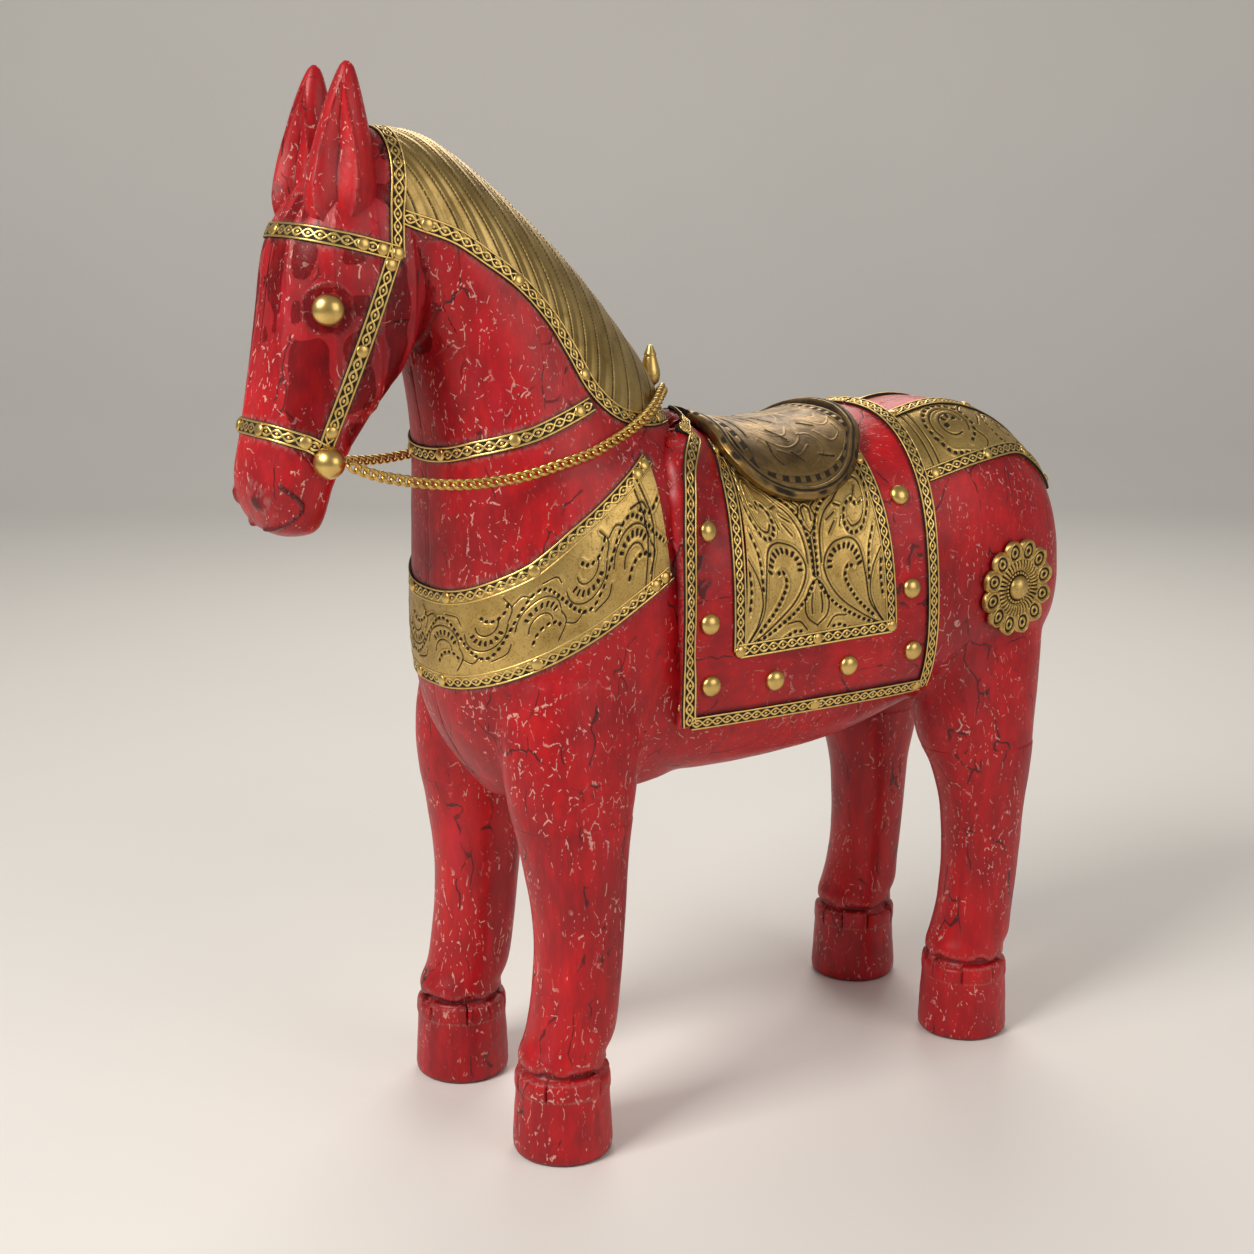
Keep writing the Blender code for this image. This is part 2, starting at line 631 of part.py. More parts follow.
def build():
    clear_scene()
    sides = {"left": 1, "right": -1}
    legs = [form(side) for form in (front_leg_form, hind_leg_form) for side in (1, -1)]
    timber = carved([trunk_form(), neck_form(), head_form()] + legs, TIMBER_TRIANGLES)
    surface = Surface(timber)

    dowels = {}
    for side_name, side in sides.items():
        dowels[f"front_leg_dowel_{side_name}"] = ((side * 0.050, 0.011, LEG_JOINT_Z), (0, 0, 1))
        dowels[f"hind_leg_dowel_{side_name}"] = ((side * 0.050, hind_foot_y() + 0.007, LEG_JOINT_Z),
                                                 (0, 0, 1))
    dowels["chest_dowel"] = ((0, 0.030, 0.300), (1, 0, 0))
    dowels["rump_dowel"] = ((0, barrel(0.76), 0.330), (1, 0, 0))
    dowels["head_dowel"] = ((0, -0.062, 0.505), (0, -0.97, 0.24))
    holes = {name: dowel_hole(*where) for name, where in dowels.items()}

    above_legs = boolean(timber, box((-0.2, -0.3, LEG_JOINT_Z + GAP / 2), (0.2, 0.6, 0.7)), "INTERSECT")
    head = boolean(above_legs, prism(head_block(0)), "INTERSECT")
    head = boolean(head, holes["head_dowel"], "DIFFERENCE")
    for side in (1, -1):
        head = boolean(head, offset_mesh(ear_form(side), GAP * 1.4), "DIFFERENCE")
    keep("head", biggest_body(head), "paint")

    body = boolean(above_legs, prism(head_block(GAP)), "DIFFERENCE")
    for hole in holes.values():
        body = boolean(body, hole, "DIFFERENCE")
    body = boolean(body, post_seat(), "DIFFERENCE")
    body = boolean(body, offset_mesh(tail_mesh(), GAP * 1.4), "DIFFERENCE")
    half = boolean(body, box((GAP / 2, -0.3, 0.0), (0.2, 0.6, 0.7)), "INTERSECT")
    keep_pair("body", biggest_body(half), "paint")

    for name, y_low, y_high in (("front_leg", -0.1, 0.15), ("hind_leg", 0.15, 0.6)):
        below = box((0.002, y_low, 0.0), (0.2, y_high, LEG_JOINT_Z - GAP / 2))
        leg = boolean(boolean(timber, below, "INTERSECT"), holes[f"{name}_dowel_left"], "DIFFERENCE")
        keep_pair(name, biggest_body(leg), "paint")

    for name, (place, direction) in dowels.items():
        keep(name, dowel_mesh(place, direction), "dowel")
    keep_pair("ear", ear_form(1), "paint")
    keep("tail", tail_mesh(), "paint")

    skin = boolean(timber, box((-0.2, -0.3, LEG_JOINT_Z), (0.2, 0.6, 0.7)), "INTERSECT")
    saddle(skin)
    tack(skin)
    studs_and_rosettes(skin, surface)
    reins()
    for piece in PIECES.values():
        piece.data.transform(Matrix.Translation((0, FRONT_FEET_Y, 0)))
    hinge_parents()


def head_block(gap):
    """The side outline of the block that the head is sawn from. It meets the neck along a
    line from the poll, under the crown strap, to the throat."""
    return [(-0.0700 + gap, 0.640), (-0.0700 + gap, 0.520), (-0.0440 + gap, 0.462 - gap),
            (-0.0560, 0.444 - gap), (-0.0640, 0.436 - gap), (-0.0800, 0.300), (-0.300, 0.300),
            (-0.300, 0.640)]


def tail_mesh():
    """A carved tail that lies close down the rump and hangs free below it."""
    route = [(barrel(0.950), 0.376), (barrel(0.986), 0.350), (barrel(1.012), 0.315),
             (barrel(1.020), 0.270), (barrel(1.002), 0.225), (barrel(0.975), 0.185)]
    widths = [0.007, 0.011, 0.013, 0.013, 0.011, 0.005]
    count = 8
    centres = smooth_route(route, count)
    along = np.gradient(centres, axis=0)
    along /= np.linalg.norm(along, axis=1)[:, None]
    half_widths = np.interp(np.linspace(0, 5, count), range(6), widths)
    stations = []
    for centre, direction, half_width in zip(centres, along, half_widths):
        across = np.array([direction[1], -direction[0]]) * half_width * 0.62
        stations.append((tuple(centre - across), tuple(centre + across), half_width, 2.2, 0, 0))
    return ring_loft(stations, 10)


def saddle(skin):
    """Saddle cloth boards, seat and their brass."""
    cloth = prism(cloth_outline(0), GAP / 2, 0.2)
    keep_pair("saddle_cloth", laid(skin, GAP, CLOTH_THICKNESS, cloth), "paint")
    on_cloth = GAP + CLOTH_THICKNESS + SHEET_LIFT
    beyond_rim = prism(seat_outline(-RIM_RADIUS - 2 * GAP))
    inner = prism(cloth_outline(CLOTH_MARGIN + STRIP_WIDTH))
    edge = boolean(prism(cloth_outline(CLOTH_MARGIN), 0.006, 0.2), inner, "DIFFERENCE")
    edge = boolean(edge, beyond_rim, "DIFFERENCE")
    keep_pair("cloth_border", laid(skin, on_cloth, SHEET, edge), "brass")

    frame = boolean(prism(flap_outline(0), 0.04, 0.2), prism(flap_outline(STRIP_WIDTH)), "DIFFERENCE")
    frame = boolean(frame, beyond_rim, "DIFFERENCE")
    keep_pair("flap_frame", laid(skin, on_cloth, SHEET, frame), "brass")
    panel = boolean(prism(flap_outline(STRIP_WIDTH + GAP), 0.04, 0.2), beyond_rim, "DIFFERENCE")
    keep_pair("flap_plate", laid(skin, on_cloth, SHEET, panel), "brass")

    seat_area = prism(seat_outline(RIM_RADIUS + 2 * GAP))
    rim = seat_rim(offset_mesh(skin, on_cloth))
    around_rim = offset_mesh(rim, 1.5 * GAP)
    layers = {"seat_pad": (on_cloth, SEAT_THICKNESS, "paint"),
              "saddle_seat": (on_cloth + SEAT_THICKNESS + SHEET_LIFT, SHEET, "brass")}
    for name, (inner, thickness, finish) in layers.items():
        layer = boolean(laid(skin, inner, thickness, seat_area), around_rim, "DIFFERENCE")
        keep(name, biggest_body(layer), finish)
    keep("seat_rim", rim, "brass")


def seat_rim(cloth_top):
    """The rolled rim: a round bead on the cloth, all round the seat."""
    finder = Surface(cloth_top)
    side_arc = [(barrel(share), z) for share, z in SEAT_EDGE[2:-2]]
    half = [finder.left(y, z) for y, z in smooth_route(side_arc, 13)]
    front_y, rear_y = barrel(SEAT_EDGE[1][0]) + 0.001, barrel(SEAT_EDGE[-2][0]) - 0.001
    front_x, rear_x = RIM_FRONT_CORNER * TRUNK_HALF_WIDTH, RIM_REAR_CORNER * TRUNK_HALF_WIDTH
    front = [finder.top(x, front_y) for x in (0.0, front_x / 2, front_x)]
    rear = [finder.top(x, rear_y) for x in (rear_x, rear_x / 2, 0.0)]
    half = front + half + rear
    centres = [place + normal * (RIM_RADIUS + 3 * GAP) for place, normal in half]
    other = [Vector((-c.x, c.y, c.z)) for c in centres[1:-1]][::-1]
    return closed_tube(np.array([tuple(c) for c in centres + other]), RIM_RADIUS, 8)


def closed_tube(centres, radius, sides):
    """A round bead along a closed ring of centres."""
    along = np.roll(centres, -1, 0) - np.roll(centres, 1, 0)
    along /= np.linalg.norm(along, axis=1)[:, None]
    outward = centres - centres.mean(0)
    outward -= (outward * along).sum(1)[:, None] * along
    outward /= np.linalg.norm(outward, axis=1)[:, None]
    up = np.cross(along, outward)
    angle = np.arange(sides) * 2 * math.pi / sides
    ring = (centres[:, None] + radius * (outward[:, None] * np.cos(angle)[None, :, None]
                                         + up[:, None] * np.sin(angle)[None, :, None]))
    count = len(centres)
    faces = []
    for i in range(count):
        for j in range(sides):
            k, m = (i + 1) % count, (j + 1) % sides
            faces.append((i * sides + j, i * sides + m, k * sides + m, k * sides + j))
    return mesh_from(ring.reshape(-1, 3), faces)


def post_place():
    """The foot of the rein post, on a flat cut at the root of the neck behind the mane."""
    return Vector((0, 0.0985, POST_FOOT_Z))


def post_seat():
    """The flat cut under the post and the hole for its shank."""
    hole, flat = POST_SHANK_RADIUS + GAP, POST_FLANGE_RADIUS + 0.0008
    profile = [(hole, -POST_SHANK_LENGTH - GAP), (hole, -GAP), (flat, -GAP), (flat, 0.08)]
    return aimed(turned(profile, 12), post_place(), (0, 0, 1))


def tack(skin):
    """Brass on the head, neck, chest and rump."""
    half = STRIP_WIDTH / 2
    crest = [(0.0910, 0.50), (0.05, 0.56), (-0.02, 0.60), (-0.0685, 0.60)]
    crupper = [(barrel(share), z) for share, z in CRUPPER_LOW]
    crupper += [(crupper[-1][0], 0.45), (crupper[0][0], 0.45)]
    # name: its outline, the strips that cut it back
    sheets = {"mane_plate": (MANE_EDGE + crest, [MANE_EDGE, CROWN]),
              "neck_band": (stroke(NECK_BAND, STRIP_WIDTH), [MANE_EDGE]),
              "breast_border_upper": (stroke(BREAST_TOP, STRIP_WIDTH), []),
              "breast_border_lower": (stroke(BREAST_LOW, STRIP_WIDTH), []),
              "breast_plate": (band_between(BREAST_LOW, BREAST_TOP, half), [BREAST_LOW, BREAST_TOP]),
              "brow_band": (stroke(BROW, STRIP_WIDTH), [CROWN, CHEEK]),
              "nose_band": (stroke(NOSE, STRIP_WIDTH), [CHEEK]),
              "crown_strap": (stroke(CROWN, STRIP_WIDTH), [])}
    for name, (outline, strips) in sheets.items():
        keep(name, laid(skin, SHEET_LIFT, SHEET, cut_back(prism(outline), strips)), "brass")
    pairs = {"mane_border": (stroke(MANE_EDGE, STRIP_WIDTH), [CROWN], 0.004),
             "cheek_strap": (stroke(CHEEK, STRIP_WIDTH), [CROWN], 0.004),
             "crupper_plate": (crupper, [], CRUPPER_INNER_X)}
    for name, (outline, strips, inner_x) in pairs.items():
        area = cut_back(prism(outline, inner_x, 0.2), strips)
        if name == "mane_border":
            area = boolean(area, prism(cloth_outline(-GAP)), "DIFFERENCE")
        keep_pair(name, laid(skin, SHEET_LIFT, SHEET, area), "brass")


def cut_back(area, strips):
    """An area without the strips of edging that cross it, and a gap beside each."""
    for strip in strips:
        area = boolean(area, prism(stroke(strip, STRIP_WIDTH + 2 * GAP)), "DIFFERENCE")
    return area


# clear brass-to-stud distances at the two ends of the row, each stud's share of the way
# between the first and the last, and its rise over the lower edging
STUD_CLEAR_FRONT, STUD_CLEAR_REAR = 0.00027, 0.00433
STUD_ROW = [(0.0, 0.01093), (0.29977, 0.00815), (0.66362, 0.00956), (1.0, 0.01182)]


def stud_places():
    """The studs in a row over the lower edging of the cloth, as (y, z)."""
    front = cloth_outline(CLOTH_MARGIN + STRIP_WIDTH)
    low_front, low_rear = np.array(front[6]), np.array(front[7])
    inner_front = np.interp(low_front[1] + STUD_ROW[0][1] + STUD_RADIUS, [front[6][1], front[5][1]],
                            [front[6][0], front[5][0]])
    inner_rear = np.interp(low_rear[1] + STUD_ROW[-1][1] + STUD_RADIUS, [front[7][1], front[8][1]],
                           [front[7][0], front[8][0]])
    first = inner_front + STUD_CLEAR_FRONT + STUD_RADIUS
    last = inner_rear - STUD_CLEAR_REAR - STUD_RADIUS
    places = []
    for share, rise in STUD_ROW:
        y = first + share * (last - first)
        edge = np.interp(y, [low_front[0], low_rear[0]], [low_front[1], low_rear[1]])
        places.append((float(y), float(edge + STUD_RADIUS + rise)))
    return places


def studs_and_rosettes(skin, surface):
    """Domed studs, knobs, eyes and rosettes, each standing on the surface under it."""
    stand = SHEET_LIFT + SHEET + 2 * GAP
    place, normal = surface.left(-0.1200, 0.4010)
    keep_pair("bit_knob", aimed(dome(KNOB_RADIUS, KNOB_RADIUS * 1.2), place + normal * stand, normal),
              "brass")
    place, normal = surface.left(-0.1172, 0.4776)
    keep_pair("eye", aimed(dome(EYE_RADIUS, EYE_RADIUS * 0.8), place + normal * EYE_LIFT, normal), "brass")
    place, normal = surface.left(barrel(0.782), 0.2965)
    keep_pair("rosette", aimed(rosette_mesh(), place + normal * 0.0022, normal), "brass")
    cloth_top = Surface(offset_mesh(skin, GAP + CLOTH_THICKNESS))
    for number, (y, z) in enumerate(stud_places(), 1):
        place, normal = cloth_top.left(y, z)
        stud = aimed(dome(STUD_RADIUS, STUD_HEIGHT, 10, 2), place + normal * 2 * GAP, normal)
        keep(f"saddle_stud_left_{number}", stud, "brass")
        keep(f"saddle_stud_right_{number}", mirrored(stud), "brass")


def reins():
    """The post that the reins loop over, and the two chains."""
    shank, flange = POST_SHANK_RADIUS, POST_FLANGE_RADIUS
    post = turned([(shank, -POST_SHANK_LENGTH), (shank, 0.0), (flange, 0.0003), (flange, 0.0020),
                   (0.0030, 0.0035), (0.0028, 0.0110), (0.0055, 0.0150), (0.0060, 0.0190),
                   (0.0040, 0.0270), (0.0012, 0.0345)], 10)
    keep("rein_post", aimed(post, post_place(), (0, 0, 1)), "brass")
    keep("rein_chain_left", chain_tube("rein", 1), "brass")
    keep("rein_chain_right", chain_tube("rein", -1), "brass")


def hinge_parents():
    """Each chain hangs from an empty at the bit knob, on the line it swings about."""
    for side_name, side in (("left", 1), ("right", -1)):
        x, y, z = REIN_ROUTE[0]
        hinge = bpy.data.objects.new(f"rein_hinge_{side_name}", None)
        bpy.context.collection.objects.link(hinge)
        hinge.location = (side * x, y + FRONT_FEET_Y, z)
        chain = PIECES[f"rein_chain_{side_name}"]
        chain.data.transform(Matrix.Translation(-hinge.location))
        chain.parent = hinge


build()
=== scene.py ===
# %% [markdown]
# # A carved wooden horse with brass fittings
# The real object is a free-standing horse about 0.6 m tall. It is carved from blocks of wood,
# painted red, and dressed with embossed brass sheet, brass nails and two chain reins.
# This lesson builds its looks around a frame of plain solids that already has the right sizes.
# First comes the frame. Everything below is in metres, with the horse facing -Y, its left
# side towards +X and the ground at z = 0.

# %% The frame
import math

import bpy
import numpy as np
from mathutils import Euler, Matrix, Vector


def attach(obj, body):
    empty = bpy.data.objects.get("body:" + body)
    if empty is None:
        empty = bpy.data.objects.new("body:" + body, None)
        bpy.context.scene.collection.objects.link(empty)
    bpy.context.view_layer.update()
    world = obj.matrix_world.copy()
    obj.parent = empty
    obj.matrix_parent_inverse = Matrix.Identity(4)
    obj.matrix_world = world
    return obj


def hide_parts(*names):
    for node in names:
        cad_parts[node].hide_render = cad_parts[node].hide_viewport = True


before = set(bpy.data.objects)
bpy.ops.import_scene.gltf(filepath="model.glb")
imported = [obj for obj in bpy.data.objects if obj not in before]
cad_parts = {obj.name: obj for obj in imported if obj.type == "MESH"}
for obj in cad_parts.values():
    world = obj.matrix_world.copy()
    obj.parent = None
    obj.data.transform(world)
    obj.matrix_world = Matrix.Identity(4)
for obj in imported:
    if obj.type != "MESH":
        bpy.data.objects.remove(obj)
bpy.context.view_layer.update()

# %% [markdown]
# ## Sizes
# A carver lays everything out from the front feet, so the routes below count y from them.
# `barrel` gives a place along the body, from 0 at the front of the saddle cloth to 1 at the
# end of the rump.

# %% Sizes
FEET_Y = -0.1270
BARREL_START, BARREL_LENGTH = 0.058, 0.334
TRUNK_WIDTH, NECK_WIDTH, HEAD_WIDTH = 0.0785, 0.0600, 0.0400
FRONT_LEG_X, HIND_LEG_X = 0.0623, 0.0573
LEG_RADIUS, HOOF_RADIUS = 0.0250, 0.0287
LEG_CUT_Z = 0.193
STRIP_WIDTH = 0.0084
CLOTH_TOP = 0.0083
BORDER_INSET = 0.0048


def barrel(share):
    return BARREL_START + share * BARREL_LENGTH


HIND_FOOT_Y = barrel(0.75) - 0.0011


# %% [markdown]
# ## Camera
# The camera looks down a little on the horse's left front quarter from about a metre away,
# with a lens slightly longer than the eye's.

# %% Camera
view = bpy.data.cameras.new("camera")
view.lens, view.sensor_width = 55.65, 36.0
camera = bpy.data.objects.new("camera", view)
camera.location = (0.95045, -0.64188, 0.53258)
camera.rotation_euler = Euler((math.radians(77.525), 0, math.radians(57.84)))
bpy.context.scene.collection.objects.link(camera)
bpy.context.scene.camera = camera


# %% [markdown]
# ## Meshes from arrays
# Every new shape in this lesson is a grid of points worked out with numpy, one whole array at
# a time. `quads` numbers the faces of such a grid and `mesh_of` hands points and faces to
# Blender. A grid can close on itself, as a tube or a ring does.

# %% Grids
def quads(rows, cols, close_rows=False, close_cols=False):
    """Faces of a grid: each joins a point to its next neighbours in both directions."""
    i, j = np.meshgrid(np.arange(rows - (not close_rows)), np.arange(cols - (not close_cols)),
                       indexing="ij")
    k, m = (i + 1) % rows, (j + 1) % cols
    return np.stack([i * cols + j, k * cols + j, k * cols + m, i * cols + m], -1).reshape(-1, 4)


def mesh_of(name, points, faces, smooth=50):
    """A mesh from (n, 3) points and arrays of faces with the same number of corners each."""
    mesh = bpy.data.meshes.new(name)
    mesh.vertices.add(len(points))
    mesh.vertices.foreach_set("co", np.ascontiguousarray(points, np.float32).ravel())
    if faces:
        corners = np.concatenate([part.ravel() for part in faces]).astype(np.int32)
        sizes = np.concatenate([np.full(len(part), part.shape[1]) for part in faces])
        mesh.loops.add(len(corners))
        mesh.polygons.add(len(sizes))
        starts = np.concatenate([[0], np.cumsum(sizes)[:-1]]).astype(np.int32)
        mesh.polygons.foreach_set("loop_start", starts)
        mesh.polygons.foreach_set("vertices", corners)
        mesh.update(calc_edges=True)
        mesh.shade_smooth()
        mesh.set_sharp_from_angle(angle=math.radians(smooth))
    return mesh


def unit(vectors):
    """Vectors of length one."""
    return vectors / np.maximum(np.linalg.norm(vectors, axis=-1, keepdims=True), 1e-12)


def points_of(mesh):
    """The points of a mesh as an (n, 3) array."""
    places = np.empty(len(mesh.vertices) * 3, np.float32)
    mesh.vertices.foreach_get("co", places)
    return places.reshape(-1, 3).astype(float)


def normals_of(mesh):
    """The outward direction at each point of a mesh."""
    ways = np.empty(len(mesh.vertices) * 3, np.float32)
    mesh.vertex_normals.foreach_get("vector", ways)
    return ways.reshape(-1, 3).astype(float)


def move_points(mesh, places):
    """Put a mesh's points at new places."""
    mesh.vertices.foreach_set("co", np.ascontiguousarray(places, np.float32).ravel())
    mesh.update()


def mark(mesh, name, values):
    """Store one number at each point, for the finish to read."""
    layer = mesh.attributes.get(name) or mesh.attributes.new(name, "FLOAT", "POINT")
    layer.data.foreach_set("value", np.ascontiguousarray(values, np.float32).ravel())


def worked(mesh, *modifiers):
    """The mesh after some modifiers, given as (kind, settings)."""
    carrier = bpy.data.objects.new("carrier", mesh)
    bpy.context.scene.collection.objects.link(carrier)
    for kind, settings in modifiers:
        modifier = carrier.modifiers.new(kind, kind)
        for key, value in settings.items():
            setattr(modifier, key, value)
    graph = bpy.context.evaluated_depsgraph_get()
    result = bpy.data.meshes.new_from_object(carrier.evaluated_get(graph))
    bpy.data.objects.remove(carrier, do_unlink=True)
    return result


def smooth_line(route, count):
    """Catmull-Rom points through a route, evenly in its parameter: each stretch is a cubic
    whose slope at a point is half the step between that point's neighbours."""
    route = np.array(route, float)
    padded = np.concatenate([[2 * route[0] - route[1]], route, [2 * route[-1] - route[-2]]])
    place = np.linspace(0, len(route) - 1, count)
    cell = np.minimum(place.astype(int), len(route) - 2)
    t = (place - cell)[:, None]
    a, b, c, d = (padded[cell + i] for i in range(4))
    return 0.5 * (2 * b + (c - a) * t + (2 * a - 5 * b + 4 * c - d) * t ** 2
                  + (3 * b - a - 3 * c + d) * t ** 3)


def even_line(line, step):
    """The same line with points a step apart, and how far along each is."""
    reach = np.concatenate([[0], np.cumsum(np.linalg.norm(np.diff(line, axis=0), axis=1))])
    along = np.linspace(0, reach[-1], max(3, int(round(reach[-1] / step)) + 1))
    return np.stack([np.interp(along, reach, column) for column in line.T], 1), along


def add_piece(name, mesh, finish, replaced=(), body="horse"):
    """Put a finished mesh in the scene: its finish, the body it moves with, what it stands for."""
    piece = bpy.data.objects.new(name, mesh)
    bpy.context.scene.collection.objects.link(piece)
    piece.data.materials.clear()
    piece.data.materials.append(finish)
    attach(piece, body)
    if replaced:
        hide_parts(*replaced)
    print(f"{name}: {len(mesh.polygons)} faces")
    return piece


def mirrored(mesh):
    """A copy on the horse's other side, with its faces turned back to point outwards."""
    copy = mesh.copy()
    places = points_of(copy)
    places[:, 0] *= -1
    move_points(copy, places)
    copy.flip_normals()
    return copy


def add_pair(name, mesh, finish, replaced=()):
    """A piece on the horse's left side and its mirror image on the right."""
    for side, shape in (("left", mesh), ("right", mirrored(mesh))):
        add_piece(f"{name}_{side}", shape, finish, [f"{node}_{side}" for node in replaced])


# %% [markdown]
# ## Finishes as expressions
# A material is a graph of nodes. Writing its arithmetic as Python expressions keeps it
# readable: `Wire` wraps a socket, and adding or multiplying two wires adds a Math node.
# Any other node comes from `Finish.node`, which takes its type, settings and inputs.

# %% Wires and nodes
class Wire:
    """A value in a material. Arithmetic on it adds Math nodes."""

    def __init__(self, finish, socket):
        self.finish, self.socket = finish, socket

    def math(self, operation, *others):
        inputs = {i: value for i, value in enumerate((self, *others))}
        return self.finish.node("ShaderNodeMath", {"operation": operation}, inputs)

    def __add__(self, other):
        return self.math("ADD", other)

    def __mul__(self, other):
        return self.math("MULTIPLY", other)

    def __sub__(self, other):
        return self.math("SUBTRACT", other)

    def __truediv__(self, other):
        return self.math("DIVIDE", other)

    def __rsub__(self, other):
        return self.finish.node("ShaderNodeMath", {"operation": "SUBTRACT"}, {0: other, 1: self})

    def __pow__(self, other):
        return self.math("POWER", other)

    __radd__, __rmul__ = __add__, __mul__

    def most(self, other):
        return self.math("MAXIMUM", other)

    def step(self, low, high, start=0.0, end=1.0):
        """Rises smoothly from start to end as the value goes from low to high."""
        return self.finish.node("ShaderNodeMapRange", {"interpolation_type": "SMOOTHSTEP"},
                                {"Value": self, "From Min": low, "From Max": high,
                                 "To Min": start, "To Max": end}, "Result")


class Finish:
    """One material under construction."""

    def __init__(self, name):
        self.material = bpy.data.materials.new(name)
        self.material.use_nodes = True
        self.tree = self.material.node_tree
        self.shader = self.tree.nodes["Principled BSDF"]
        self.place = self.node("ShaderNodeTexCoord", {}, {}, "Object")

    def node(self, kind, settings, inputs, output=0):
        """Add a node: its settings first, then values or wires into its sockets."""
        node = self.tree.nodes.new(kind)
        for key, value in settings.items():
            if key == "stops":
                ramp = node.color_ramp
                while len(ramp.elements) < len(value):
                    ramp.elements.new(0.5)
                for element, (position, color) in zip(ramp.elements, value):
                    element.position, element.color = position, (*color, 1)
            else:
                setattr(node, key, value)
        for key, value in inputs.items():
            self.feed(node.inputs[key], value)
        return Wire(self, node.outputs[output])

    def feed(self, socket, value):
        if isinstance(value, Wire):
            self.tree.links.new(value.socket, socket)
        elif socket.type == "RGBA" and len(value) == 3:
            socket.default_value = (*value, 1)
        else:
            socket.default_value = value

    def stretched(self, scale):
        """The place on the object, stretched along its axes."""
        return self.node("ShaderNodeMapping", {}, {"Vector": self.place, "Scale": scale}, "Vector")

    def noise(self, scale, vector=None, detail=2.0, rough=0.5):
        return self.node("ShaderNodeTexNoise", {},
                         {"Vector": vector or self.place, "Scale": scale, "Detail": detail,
                          "Roughness": rough}, "Fac")

    def cells(self, feature, scale, vector=None, output="Distance", random=1.0):
        return self.node("ShaderNodeTexVoronoi", {"feature": feature},
                         {"Vector": vector or self.place, "Scale": scale, "Randomness": random}, output)

    def mark(self, name):
        return self.node("ShaderNodeAttribute", {"attribute_name": name}, {}, "Fac")

    def mix(self, share, first, second):
        """Two colours mixed by a share."""
        wire = self.node("ShaderNodeMix", {"data_type": "RGBA"}, {"Factor": share}, 2)
        node = wire.socket.node
        self.feed(node.inputs[6], first)
        self.feed(node.inputs[7], second)
        return wire

    def bump(self, height, distance, strength=1.0, normal=None):
        """Small hills and hollows, as a change of the direction that the surface faces."""
        inputs = {"Height": height, "Distance": distance, "Strength": strength}
        if normal:
            inputs["Normal"] = normal
        return self.node("ShaderNodeBump", {}, inputs, "Normal")

    def set(self, **values):
        """Set or link the sockets of the shader itself."""
        for key, value in values.items():
            self.feed(self.shader.inputs[key.replace("_", " ")], value)
        return self.material
